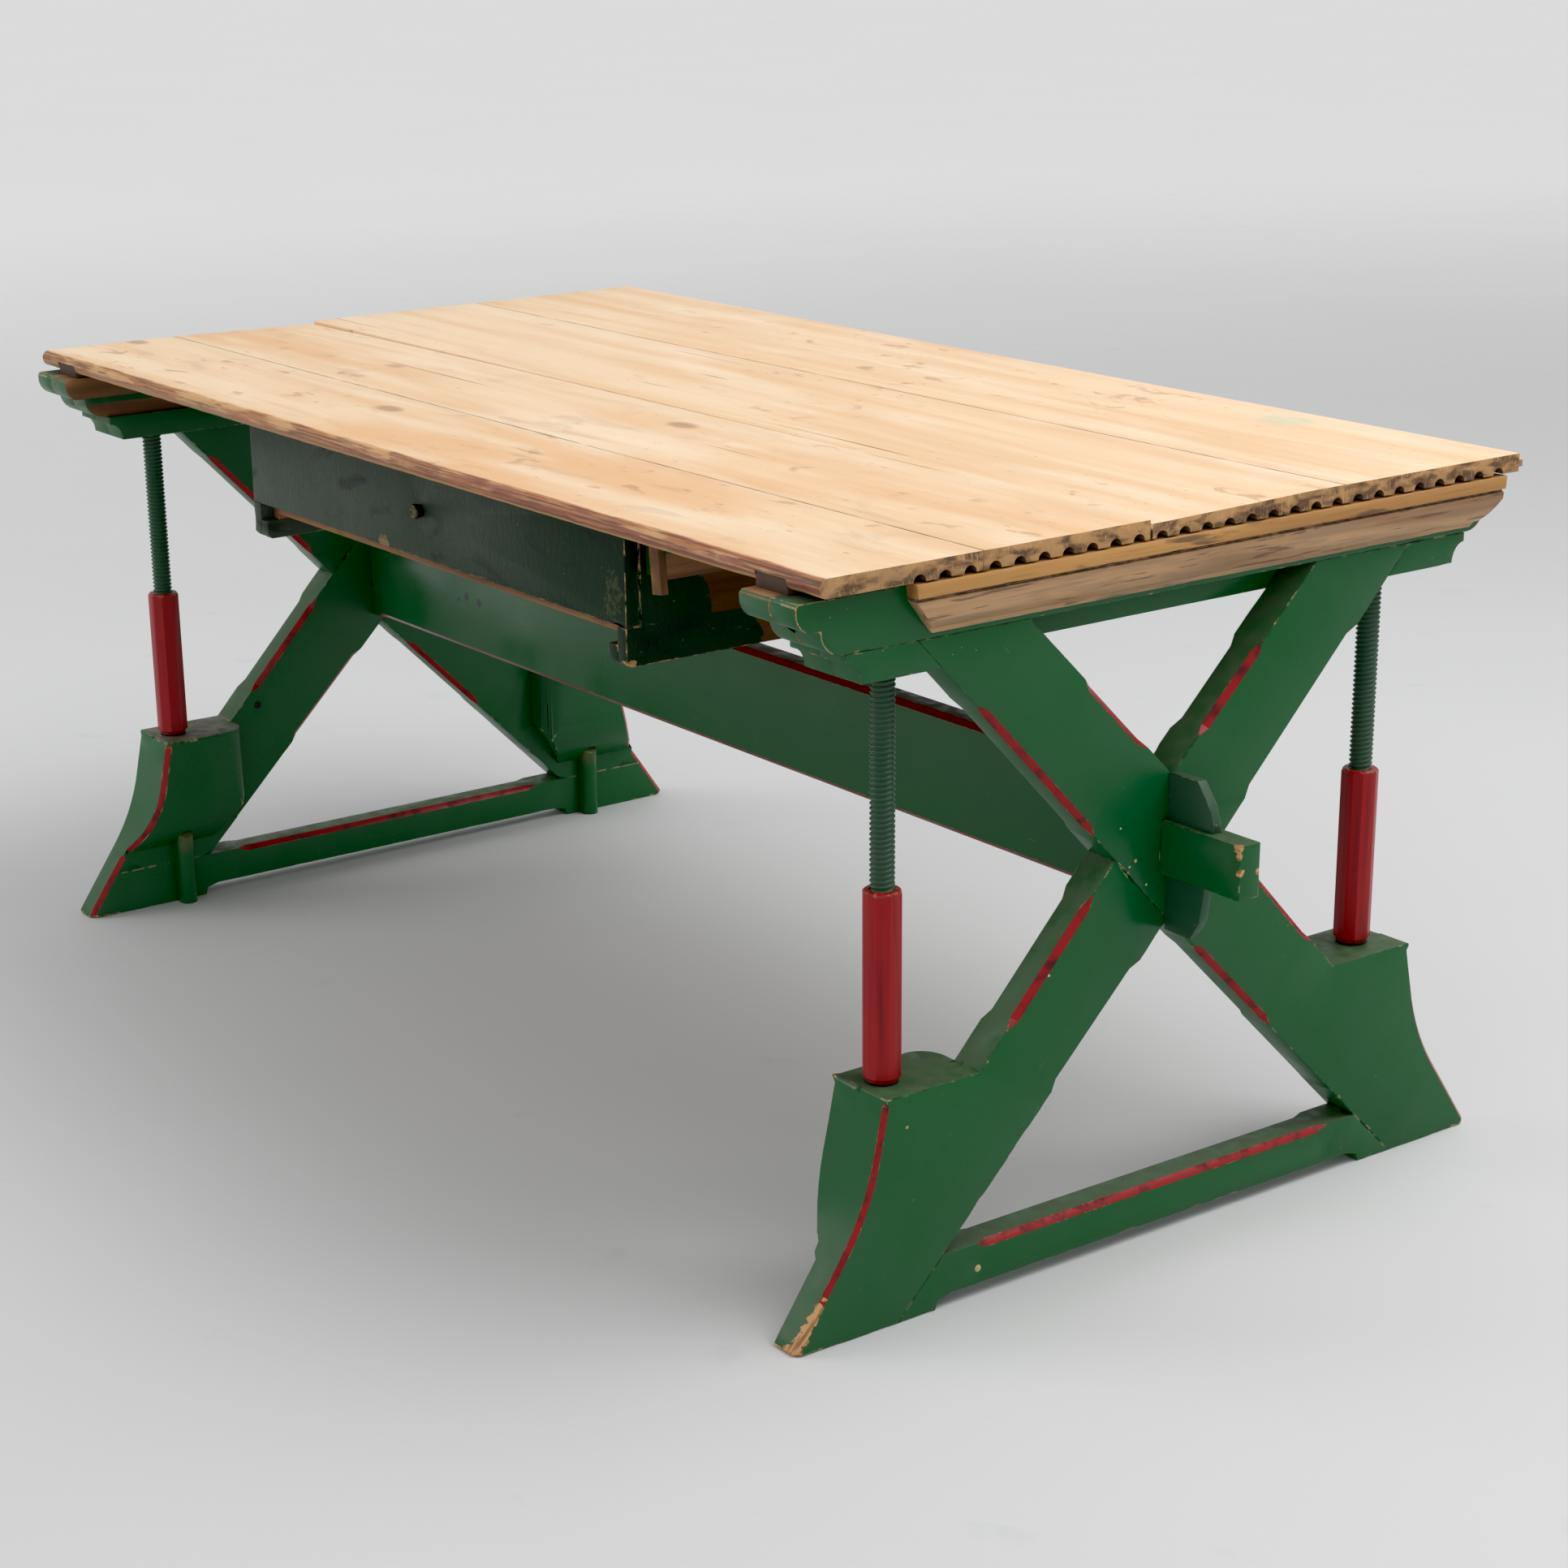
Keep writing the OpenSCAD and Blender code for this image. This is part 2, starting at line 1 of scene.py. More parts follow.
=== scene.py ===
"""Looks for the drafting table: worn green and red oil paint, scrubbed pine, and a pale studio."""

import json
import math

import bmesh
import bpy
from mathutils import Matrix, Vector, noise


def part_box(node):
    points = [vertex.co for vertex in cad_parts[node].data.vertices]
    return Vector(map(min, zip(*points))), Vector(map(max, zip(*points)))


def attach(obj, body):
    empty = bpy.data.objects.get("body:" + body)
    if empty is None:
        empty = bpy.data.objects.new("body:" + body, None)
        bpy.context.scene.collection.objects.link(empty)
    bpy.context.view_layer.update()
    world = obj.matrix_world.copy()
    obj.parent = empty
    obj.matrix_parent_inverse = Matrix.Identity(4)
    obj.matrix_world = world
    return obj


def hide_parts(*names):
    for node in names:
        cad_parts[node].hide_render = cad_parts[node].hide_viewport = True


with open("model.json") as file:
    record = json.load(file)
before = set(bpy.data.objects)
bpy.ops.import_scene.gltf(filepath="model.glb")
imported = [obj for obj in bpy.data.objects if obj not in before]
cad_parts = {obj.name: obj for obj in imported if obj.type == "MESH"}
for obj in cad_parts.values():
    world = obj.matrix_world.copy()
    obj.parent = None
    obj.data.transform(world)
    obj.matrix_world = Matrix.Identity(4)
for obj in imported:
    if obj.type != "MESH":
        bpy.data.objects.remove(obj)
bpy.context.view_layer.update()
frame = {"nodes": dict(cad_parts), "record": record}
NODES = frame["nodes"]
RECORD = frame["record"]
BODIES = {n: body for body, members in RECORD["behaviour"]["bodies"].items() for n in members}

MM = 0.001

# Places that the details hang on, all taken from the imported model, in metres.
LEG_LOW, LEG_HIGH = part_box("leg_front_right")
LAYER_X = LEG_LOW.x                             # where the foot blocks are glued to the legs
LAP_X = (LEG_LOW.x + LEG_HIGH.x) / 2            # where the bottom rails are let into the legs
SLEDGE_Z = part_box("bottom_rail_right")[1].z
BLOCK_END_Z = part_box("foot_block_front_right")[0].z + MM
SHOULDER_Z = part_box("nut_front_right")[0].z
TOP_LOW, TOP_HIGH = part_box("top_board_1")
GAP_Y = (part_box("top_board_2")[1].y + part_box("top_board_3")[0].y) / 2
DRAWER_FACE_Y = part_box("drawer_front")[0].y

# How far the parts of a foot lie from the middle of the table, and how high the worn toe is.
FOOT_Y = 250 * MM
FOOT_END_Y = 365 * MM
TOE_Y = 430 * MM
TOE_TIP_Y = 470 * MM
TOE_Z = 30 * MM

SHARP = math.radians(28)       # an edge that turns more than this gets rounded
CREASE = math.radians(20)      # an edge that turns more than this is shaded as a crease
FLUSH = 0.1 * MM               # points nearer than this to a plane lie in it
STRIPE = "stripe"      # face attribute: 1 on the red chamfers
WORN = "worn"          # face attribute: 1 on softened edges
GRAIN = "grain"        # point attribute: place along and across the grain


# ---------- meshes ----------

def copy_of(node):
    """A clean bmesh of a CAD node, with flat areas joined into single faces."""
    bm = bmesh.new()
    bm.from_mesh(NODES[node].data)
    bmesh.ops.remove_doubles(bm, verts=bm.verts, dist=0.02 * MM)
    bmesh.ops.dissolve_limit(bm, angle_limit=math.radians(0.7), verts=bm.verts, edges=bm.edges)
    bm.faces.layers.int.new(STRIPE)
    return bm


def middle(edge):
    return (edge.verts[0].co + edge.verts[1].co) / 2


def sharp_edges(bm):
    return [e for e in bm.edges if e.is_manifold and e.calc_face_angle(0) > SHARP]


def split_long(edges, step):
    """Splits edges into stretches of about one step, without cutting their faces."""
    for edge in edges:
        near, far = edge.verts
        for left in range(int(edge.calc_length() / step), 1, -1):
            other, near = bmesh.utils.edge_split(edge, near, 1 / left)
            if far not in edge.verts:
                edge = other


def slice_along(bm, axis, places):
    """Cuts every face at planes across one axis, so that it can bend."""
    normal = Vector([i == axis for i in range(3)])
    for place in places:
        bmesh.ops.bisect_plane(bm, geom=bm.verts[:] + bm.edges[:] + bm.faces[:],
                               dist=0.01 * MM, plane_co=normal * place, plane_no=normal)


def wear_at(place, chips):
    """How much an edge is worn at a place: a low wavering level with a few deeper chips."""
    if place.z < TOE_Z and abs(place.y) > TOE_Y:
        return 1.0
    waver = 0.30 + 0.14 * noise.noise(place * 35)
    chip = max(0.0, noise.noise(place * 62 + Vector((7, 3, 5))) - 0.30)
    return min(1.0, max(0.12, waver + chips * chip))


def is_glued(edge, planes):
    """True for an edge of a foot that lies in a plane where two pieces are glued flush."""
    place = middle(edge)
    if not planes or abs(place.y) < FOOT_Y or place.z > SHOULDER_Z + MM:
        return False
    if all(abs(v.co.z - SLEDGE_Z) < FLUSH for v in edge.verts):
        return True
    return any(all(abs(abs(v.co.x) - x) < FLUSH for v in edge.verts) for x in planes)


THIN = 0.08       # share of the full width for edges that are only just rounded


def room_at(edge):
    """The widest rounding that fits beside the shortest edge which this one touches."""
    return 0.45 * min(e.calc_length() for v in edge.verts for e in v.link_edges)


def soften(bm, name, width, chips=2.0, step=9 * MM, least=0.12, glued=(), thin_below=0.0):
    """Rounds every sharp edge by an uneven amount and marks the new faces as worn."""
    split_long(sharp_edges(bm), step)
    weights = bm.edges.layers.float.new("bevel_weight_edge")
    stripe = bm.faces.layers.int[STRIPE]
    for edge in sharp_edges(bm):
        if any(face[stripe] for face in edge.link_faces) or middle(edge).z < thin_below:
            edge[weights] = THIN
        elif not is_glued(edge, glued):
            edge[weights] = min(max(least, wear_at(middle(edge), chips)), room_at(edge) / width)
    rough = bpy.data.meshes.new(name + "_rough")
    bm.to_mesh(rough)
    bm.free()
    rough.shade_smooth()
    for _ in range(2):
        rough.materials.append(None)
    carrier = bpy.data.objects.new(name + "_rough", rough)
    bpy.context.scene.collection.objects.link(carrier)
    bevel = carrier.modifiers.new("soften", "BEVEL")
    bevel.limit_method = "WEIGHT"
    bevel.width = width
    bevel.segments = 2
    bevel.use_clamp_overlap = False
    bevel.material = 1
    depsgraph = bpy.context.evaluated_depsgraph_get()
    mesh = bpy.data.meshes.new_from_object(carrier.evaluated_get(depsgraph), depsgraph=depsgraph)
    bpy.data.objects.remove(carrier)
    bpy.data.meshes.remove(rough)
    mark_worn(mesh)
    unfold(mesh)
    mesh.set_sharp_from_angle(angle=CREASE)
    return mesh


def unfold(mesh):
    """Cuts faces into triangles and turns those that the cut left facing backwards."""
    bm = bmesh.new()
    bm.from_mesh(mesh)
    source = bm.faces.layers.int.new("source")
    normals = []
    for face in bm.faces:
        normals.append(face.normal.copy())
        face[source] = len(normals) - 1
    wide = [f for f in bm.faces if len(f.verts) > 3]
    bmesh.ops.triangulate(bm, faces=wide, ngon_method="BEAUTY")
    bm.normal_update()
    for face in bm.faces:
        if face.normal.dot(normals[face[source]]) < 0:
            face.normal_flip()
    bm.faces.layers.int.remove(source)
    bm.to_mesh(mesh)
    bm.free()


def keep_inside(mesh, node):
    """Pulls points that a rounding pushed too far back into the box of their CAD node."""
    low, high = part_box(node)
    for vert in mesh.vertices:
        vert.co = Vector(min(max(vert.co[a], low[a]), high[a]) for a in range(3))


def mark_worn(mesh):
    """Turns the bevel's material index into the worn attribute."""
    worn = mesh.attributes.new(WORN, "FLOAT", "FACE")
    for face in mesh.polygons:
        worn.data[face.index].value = face.material_index
        face.material_index = 0
    mesh.materials.clear()


def seed_of(name):
    """A steady offset for each name, so that no two boards share a pattern."""
    total = sum((i + 1) * ord(c) for i, c in enumerate(name))
    return Vector((total % 17, total % 23, total % 29)) * 0.37


def lay_grain(mesh, name, along):
    """Stores each point's place along and across the grain."""
    along = Vector(along).normalized()
    side = along.orthogonal().normalized()
    turn = Matrix((along, side, along.cross(side)))
    seed = seed_of(name)
    grain = mesh.attributes.new(GRAIN, "FLOAT_VECTOR", "POINT")
    for vert in mesh.vertices:
        grain.data[vert.index].vector = turn @ vert.co + seed


def add_piece(node, mesh, material, along):
    """Puts a finished mesh in the scene in place of its CAD node."""
    keep_inside(mesh, node)
    lay_grain(mesh, node, along)
    mesh.materials.clear()
    mesh.materials.append(material)
    piece = bpy.data.objects.new(node + "_finished", mesh)
    bpy.context.scene.collection.objects.link(piece)
    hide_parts(node)
    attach(piece, BODIES[node])
    return piece


# ---------- red chamfers ----------

def mark_cut_chamfers(bm, axes):
    """Marks chamfers that slope evenly between two axes of the model."""
    layer = bm.faces.layers.int[STRIPE]
    for face in bm.faces:
        if all(0.50 < abs(face.normal[a]) < 0.85 for a in axes):
            face[layer] = 1


def mark_leg_chamfers(bm):
    """The stopped chamfers of a leg slope from its side into a slanted edge."""
    layer = bm.faces.layers.int[STRIPE]
    for face in bm.faces:
        if 0.5 < abs(face.normal.x) < 0.85 and abs(face.normal.y) > 0.15 < abs(face.normal.z):
            face[layer] = 1


def chamfer_foot(bm, outward, low=0.0, high=SHOULDER_Z - 7 * MM, width=4.8 * MM):
    """Cuts the chamfer down a foot's outer or inner arris, between two heights, and marks it."""
    slice_edge_at(bm, high)
    slice_edge_at(bm, low)
    chosen = [e for e in bm.edges if is_foot_arris(e, low, high, outward)]
    if not chosen:
        return
    made = bmesh.ops.bevel(bm, geom=chosen, offset=width, offset_type="OFFSET", segments=1,
                           affect="EDGES", clamp_overlap=False, profile=0.5)
    layer = bm.faces.layers.int[STRIPE]
    for face in made["faces"]:
        face[layer] = 1


def slice_edge_at(bm, height):
    """Splits the foot's upright edges where the chamfer stops."""
    for edge in list(bm.edges):
        low, high = sorted(edge.verts, key=lambda v: v.co.z)
        if low.co.z < height - MM < height + MM < high.co.z and high.co.z < SHOULDER_Z + MM:
            bmesh.utils.edge_split(edge, low, (height - low.co.z) / (high.co.z - low.co.z))


def is_foot_arris(edge, floor, stop, outward):
    """True for the edge between a foot's sloping end and the side that faces out (1) or in (-1)."""
    if not edge.is_manifold or edge.calc_face_angle(0) < SHARP:
        return False
    place = middle(edge)
    if not floor < place.z < stop or abs(place.y) < FOOT_END_Y:
        return False
    ends = [f for f in edge.link_faces if f.normal.y * place.y > 0 and abs(f.normal.y) > 0.45]
    facing = math.copysign(outward, place.x * outward)
    sides = [f for f in edge.link_faces if f.normal.x * facing > 0.5 and abs(f.normal.y) < 0.1]
    return bool(ends and sides)


def blunt_toe(bm, width=8 * MM):
    """Rounds off the sharp lower end of a foot, where it has been kicked and dragged."""
    chosen = []
    for edge in bm.edges:
        y = middle(edge).y
        ends = [f for f in edge.link_faces if abs(f.normal.y) > 0.4 and f.normal.y * y > 0]
        soles = [f for f in edge.link_faces if f.normal.z < -0.9]
        if ends and soles and abs(y) > TOE_TIP_Y:
            chosen.append(edge)
    if chosen:
        bmesh.ops.bevel(bm, geom=chosen, offset=width, offset_type="OFFSET", segments=3,
                        affect="EDGES", clamp_overlap=True, profile=0.5)


# ---------- shader graphs ----------

class Graph:
    """Adds shader nodes and joins them, so that a material reads like a formula."""

    def __init__(self, name):
        self.material = bpy.data.materials.new(name)
        self.material.use_nodes = True
        self.tree = self.material.node_tree
        self.shader = self.tree.nodes["Principled BSDF"]
        coords = self.add("TexCoord")
        self.place = coords.outputs["Object"]
        self.x, self.y, self.z = (self.axis(self.place, i) for i in range(3))
        self.normal = coords.outputs["Normal"]
        self.grain = self.attribute(GRAIN, "Vector")

    def put(self, socket, value):
        if isinstance(value, bpy.types.NodeSocket):
            self.tree.links.new(value, socket)
        elif socket.type == "RGBA":
            socket.default_value = (*value, 1.0)
        else:
            socket.default_value = value

    def add(self, kind, **inputs):
        """A new shader node, with some of its inputs set or linked by name."""
        node = self.tree.nodes.new("ShaderNode" + kind)
        for name, value in inputs.items():
            self.put(node.inputs[name.replace("_", " ")], value)
        return node

    def attribute(self, name, output="Fac"):
        node = self.add("Attribute")
        node.attribute_name = name
        return node.outputs[output]

    def calc(self, operation, a, b=0.0):
        node = self.add("Math")
        node.operation = operation
        self.put(node.inputs[0], a)
        self.put(node.inputs[1], b)
        return node.outputs[0]

    def times(self, *values):
        total = values[0]
        for value in values[1:]:
            total = self.calc("MULTIPLY", total, value)
        return total

    def most(self, *values):
        total = values[0]
        for value in values[1:]:
            total = self.calc("MAXIMUM", total, value)
        return total

    def size(self, value):
        return self.calc("ABSOLUTE", value)

    def plus(self, a, b):
        return self.calc("ADD", a, b)

    def less(self, a, b):
        return self.calc("SUBTRACT", a, b)

    def axis(self, vector, index):
        return self.add("SeparateXYZ", Vector=vector).outputs[index]

    def vector_calc(self, operation, a, b):
        node = self.add("VectorMath")
        node.operation = operation
        self.put(node.inputs[0], a)
        self.put(node.inputs[1], b)
        return node.outputs

    def scaled(self, vector, factors):
        return self.vector_calc("MULTIPLY", vector, factors)["Vector"]

    def far_from(self, vector, centre):
        return self.vector_calc("DISTANCE", vector, centre)["Value"]

    def cloud(self, vector, scale, detail=3.0, distortion=0.0):
        node = self.add("TexNoise", Vector=vector, Scale=scale, Detail=detail, Distortion=distortion)
        return node.outputs["Fac"]

    def cells(self, vector, scale):
        return self.add("TexVoronoi", Vector=vector, Scale=scale).outputs["Distance"]

    def band(self, value, low, high, to=1.0):
        """0 under low, rising smoothly to `to` above high; low over high makes it fall."""
        ends = (to, 0.0) if low > high else (0.0, to)
        node = self.add("MapRange", Value=value, From_Min=min(low, high), From_Max=max(low, high),
                        To_Min=ends[0], To_Max=ends[1])
        node.interpolation_type = "SMOOTHSTEP"
        return node.outputs["Result"]

    def blend(self, a, b, factor):
        node = self.add("Mix")
        node.data_type = "RGBA"
        self.put(node.inputs[0], factor)
        self.put(node.inputs[6], a)
        self.put(node.inputs[7], b)
        return node.outputs[2]

    def spots(self, places, ragged=0.35):
        """Ragged round marks at given places and radii, (x, y, z, radius), in millimetres."""
        edge = self.cloud(self.place, 190, 3)
        total = None
        for x, y, z, radius in places:
            away = self.far_from(self.place, (x * MM, y * MM, z * MM))
            share = self.calc("DIVIDE", away, radius * MM)
            share = self.calc("ADD", share, self.times(self.less(edge, 0.5), 4 * ragged))
            mark = self.band(share, 1.05, 0.9)
            total = mark if total is None else self.most(total, mark)
        return total

    def finish(self, colour, roughness, height=None, depth=0.4 * MM, strength=0.5):
        self.put(self.shader.inputs["Base Color"], colour)
        self.put(self.shader.inputs["Roughness"], roughness)
        if height is not None:
            bump = self.add("Bump", Strength=strength, Distance=depth, Height=height)
            self.put(self.shader.inputs["Normal"], bump.outputs["Normal"])
        return self.material


# ---------- materials ----------

GREEN = (0.006, 0.106, 0.024)
GREEN_DULL = (0.016, 0.108, 0.034)
GREEN_SATURATED = (0.001, 0.105, 0.028)
DUST = (0.090, 0.118, 0.066)
RED = (0.330, 0.009, 0.012)
RED_DARK = (0.090, 0.006, 0.009)
BARE = (0.640, 0.370, 0.175)
CREAM = (0.420, 0.360, 0.180)
INK_GREEN = (0.008, 0.028, 0.011)
INK_GREY = (0.014, 0.036, 0.018)
RAW = (0.360, 0.165, 0.062)
RAW_DARK = (0.120, 0.050, 0.020)
# Painted shade along the rounded edges.
EDGE_SHADE = (0.008, 0.016, 0.009)
SCRATCHED = (0.620, 0.600, 0.440)
GLOSS = 0.32                   # specular level of the oil paint


def pine(g, light, dark, coarse=1.0):
    """Colour and height of straight pine grain."""
    flow = g.cloud(g.scaled(g.grain, (1.6, 26, 26)), coarse, 5, 0.6)
    fine = g.cloud(g.scaled(g.grain, (14, 320, 320)), coarse, 2)
    colour = g.blend(light, dark, g.band(flow, 0.35, 0.72))
    colour = g.blend(colour, dark, g.band(fine, 0.52, 0.80, 0.55))
    height = g.plus(g.times(flow, 0.7), g.times(fine, 0.5))
    return colour, height


def settled_dust(g):
    """Uneven dust on faces that look up."""
    uneven = g.plus(g.band(g.cloud(g.place, 60, 6), 0.30, 0.70, 0.45), 0.45)
    return g.times(g.band(g.axis(g.normal, 2), 0.35, 0.85), uneven)


def stripe_red(g):
    """The red of the chamfers, in dark patches; darker on the stretcher between the trestles."""
    faded = g.band(g.size(g.x), 0.755, 0.745, 0.65)
    patches = g.band(g.cloud(g.place, 60, 4), 0.45, 0.75)
    return g.blend(RED, RED_DARK, g.most(faded, patches))


def specks_and_scratches(g):
    """Small chips in loose clusters, and thin scratches along the grain."""
    specks = g.band(g.cells(g.place, 95), 0.085, 0.050)
    specks = g.times(specks, g.band(g.cloud(g.place, 17, 2), 0.60, 0.66))
    scratches = g.band(g.cloud(g.scaled(g.grain, (30, 520, 520)), 1, 1), 0.80, 0.84, 0.5)
    return g.most(specks, scratches)


def worn_edges_and_shade(g, colour, chip_limit, knocked):
    """The colour with painted shade along its edges and chips to the undercoat, and a mask of bare
    wood.
    """
    rub = g.cloud(g.place, 85, 4)
    often = g.band(g.cloud(g.place, 8, 2), 0.40, 0.62)
    if knocked is not None:
        rub = g.plus(rub, g.times(knocked, 0.13))
        often = g.most(often, knocked)
    worn = g.attribute(WORN)
    chipped = g.times(worn, g.band(rub, chip_limit - 0.06, chip_limit), often)
    # Painted shade: dark lines along the rounded edges.
    colour = g.blend(colour, EDGE_SHADE, g.times(worn, g.band(rub, 0.50, 0.36), 0.5))
    colour = g.blend(colour, CREAM, g.times(chipped, 0.60))
    return colour, g.times(worn, g.band(rub, chip_limit + 0.05, chip_limit + 0.08))


def oil_paint(g, base, dull, dust=1.0, bare_spots=(), clean=(), pale_marks=(), chip_limit=0.60,
              knocked=None):
    """Old brushed oil paint: hazy patches, dust on flats, thin worn edges with painted shade along
    them, and bare wood.
    """
    strokes = g.cloud(g.scaled(g.grain, (5, 120, 120)), 1, 4)
    patches = g.cloud(g.place, 6.5, 4)
    colour = g.blend(base, dull, g.band(patches, 0.38, 0.66))
    colour = g.blend(colour, dull, g.band(strokes, 0.55, 0.85, 0.5))
    if clean:
        colour = g.blend(colour, GREEN_SATURATED, g.times(g.spots(clean, ragged=0.1), 0.75))
    settled = g.times(settled_dust(g), dust)
    colour = g.blend(colour, DUST, settled)
    colour = g.blend(colour, stripe_red(g), g.attribute(STRIPE))
    colour = g.blend(colour, CREAM, g.times(specks_and_scratches(g), 0.55))
    colour, bare = worn_edges_and_shade(g, colour, chip_limit, knocked)
    if bare_spots:
        bare = g.most(bare, g.spots(bare_spots))
    if pale_marks:
        colour = g.blend(colour, SCRATCHED, g.times(g.spots(pale_marks, 0.2), 0.8))
    fibres = g.cloud(g.scaled(g.grain, (12, 260, 260)), 1, 4)
    colour = g.blend(colour, g.blend(BARE, RAW, g.band(fibres, 0.46, 0.60)), bare)
    g.put(g.shader.inputs["Specular IOR Level"], GLOSS)
    rough = g.plus(g.times(g.band(patches, 0.30, 0.75), 0.22), 0.24)
    rough = g.most(rough, g.times(settled, 0.8), g.times(bare, 0.75))
    height = g.plus(g.times(strokes, 0.8), g.times(g.cloud(g.place, 420, 2), 0.35))
    return colour, rough, g.less(height, g.times(bare, 0.8))


# Marks on the trestles: x, y, z and radius in millimetres.
BARE_TOE = [(847, -451, 55, 4), (846, -457, 46, 6), (845, -464, 37, 7), (844, -471, 27, 7),
            (843, -477, 17, 8), (840, -483, 7, 9), (830, -486, 3, 6)]
BARE_KNOCKS = [(847, -346, 213, 2), (847, -48, 431, 2), (804, -479, 757, 3), (804, -478, 748, 3),
               (957, -13, 466, 6), (959, -13, 458, 4), (961, -12, 440, 5), (961, 14, 438, 4)]
# Deeper, more saturated green round the crossing of the legs.
SATURATED_SPOTS = [(847, -40, 450, 75), (847, -15, 385, 60)]
SCRATCH = [(847, -163, 360 - 7 * i, 1.6) for i in range(5)]
NICKS = [(847, -56, 426, 1.5), (847, -32, 402, 1.4), (847, -70, 470, 1.2)]
STRETCHER_HOLES = [(-538, -13, 444, 6), (-505, -13, 441, 6), (-560, -13, 436, 3)]
NAIL_HEAD = [(-758, -208, 265, 6), (-805, -208, 265, 6)]


def knocked_ends(g):
    """1 at the ends of the upper rails and 0.8 at the toes, where paint is knocked off most."""
    forward = g.size(g.y)
    rail_ends = g.times(g.band(forward, 0.425, 0.44), g.band(g.z, 0.66, 0.70))
    toes = g.times(g.band(g.z, 0.030, 0.010, 0.8), g.band(forward, 0.44, 0.47))
    return g.most(rail_ends, toes)


def shoulder_dust(g):
    """Thick dust on the flat shoulders of the left feet."""
    level = g.times(g.band(g.z, SHOULDER_Z - 6 * MM, SHOULDER_Z - 1 * MM),
                    g.band(g.z, SHOULDER_Z + 3 * MM, SHOULDER_Z + 1 * MM))
    flat_left = g.times(g.band(g.axis(g.normal, 2), 0.3, 0.9), g.band(g.x, 0.0, -0.1))
    return g.times(level, flat_left, g.band(g.cloud(g.place, 30, 5), 0.2, 0.6))


def flaked_seam(g):
    """Flaked paint along the glue line that runs level round the inside of each foot."""
    seam = g.band(g.size(g.less(g.z, SLEDGE_Z)), 1.6 * MM, 0.5 * MM)
    inner = g.band(g.size(g.x), LAYER_X + 3 * MM, LAYER_X + 1 * MM)
    foot = g.band(g.size(g.y), 0.31, 0.33)
    return g.times(seam, inner, foot, g.band(g.cloud(g.place, 70, 3), 0.44, 0.52))


def polished_stretcher(g):
    """1 on the left half of the stretcher, which has kept its gloss."""
    near_middle = g.band(g.size(g.y), 0.035, 0.030)
    return g.times(near_middle, g.band(g.x, -0.05, -0.40), g.band(g.x, -0.785, -0.775))


def trestle_paint():
    g = Graph("green_oil_paint")
    colour, rough, height = oil_paint(g, GREEN, GREEN_DULL, 1.0, BARE_TOE + BARE_KNOCKS,
                                      SATURATED_SPOTS, SCRATCH + NICKS, knocked=knocked_ends(g))
    colour = g.blend(colour, (0.150, 0.140, 0.098), shoulder_dust(g))
    # Painted shade in the small holes of the stretcher, with the dark nail heads on the left foot.
    hole_shade_and_nail_heads = g.most(g.spots(STRETCHER_HOLES, 0.1), g.spots(NAIL_HEAD, 0.1))
    colour = g.blend(colour, (0.006, 0.010, 0.007), hole_shade_and_nail_heads)
    gloss = g.plus(g.times(polished_stretcher(g), 0.55), GLOSS)
    g.put(g.shader.inputs["Specular IOR Level"], gloss)
    colour = g.blend(colour, (0.330, 0.290, 0.160), g.times(flaked_seam(g), 0.85))
    return g.finish(colour, rough, height, strength=0.35)


def screw_paint():
    g = Graph("screw_green_paint")
    colour, rough, height = oil_paint(g, (0.020, 0.085, 0.040), (0.040, 0.095, 0.055), 0.5)
    return g.finish(colour, rough, height, strength=0.3)


def peg_paint():
    """Green below and worn to olive wood at the sloping top."""
    g = Graph("peg_green_paint")
    colour, rough, height = oil_paint(g, GREEN, GREEN_DULL, 0.4)
    tip = g.band(g.z, 0.070, 0.092)
    tip = g.times(tip, g.band(g.cloud(g.scaled(g.place, (60, 60, 22)), 1, 5), 0.30, 0.58))
    colour = g.blend(colour, (0.130, 0.125, 0.045), g.times(tip, 0.75))
    return g.finish(colour, rough, height, strength=0.3)


def dowel_wood():
    """Pale bare ends in front and painted over behind."""
    g = Graph("pale_dowel_wood")
    colour, height = pine(g, (0.760, 0.640, 0.330), (0.420, 0.300, 0.130))
    colour = g.blend(colour, GREEN, g.band(g.y, -0.01, 0.01))
    return g.finish(colour, 0.6, height)


def nut_paint():
    g = Graph("crimson_oil_paint")
    strokes = g.cloud(g.scaled(g.place, (160, 160, 7)), 1, 4)
    colour = g.blend(RED, RED_DARK, g.band(strokes, 0.48, 0.85, 0.7))
    marks = g.band(g.cloud(g.place, 55, 4), 0.66, 0.74, 0.55)
    colour = g.blend(colour, (0.055, 0.020, 0.014), marks)
    rub = g.times(g.attribute(WORN), g.band(g.cloud(g.place, 120, 3), 0.50, 0.62))
    colour = g.blend(colour, (0.420, 0.180, 0.110), g.times(rub, 0.6))
    # Painted shade: the collar and foot of the nut are darkened for the dark gap where they meet the
    # block.
    low = g.band(g.z, SHOULDER_Z + 6 * MM, SHOULDER_Z + 1 * MM)
    colour = g.blend(colour, (0.020, 0.010, 0.008), low)
    rough = g.plus(g.times(strokes, 0.3), 0.2)
    g.put(g.shader.inputs["Specular IOR Level"], 0.3)
    return g.finish(colour, rough, strokes, strength=0.25)


DRAWER_CHIPS = [(-90, -385, 646, 12), (418, -380, 603, 8)]
CORNER_SCUFF = [(398, -385, 690, 13), (400, -385, 680, 15), (396, -385, 666, 14)]


def unpainted_rear(g):
    """1 behind the ragged slanting line where the paint of the hangers and runners ends."""
    slant = g.less(-0.041, g.times(g.z, 0.356))
    runner = g.band(g.z, 0.646, 0.644)
    paint_end = g.plus(slant, g.times(runner, 0.050))
    ragged = g.times(g.less(g.cloud(g.place, 90, 4), 0.5), 0.024)
    return g.band(g.plus(g.less(g.y, paint_end), ragged), 0.0, 1.5 * MM)


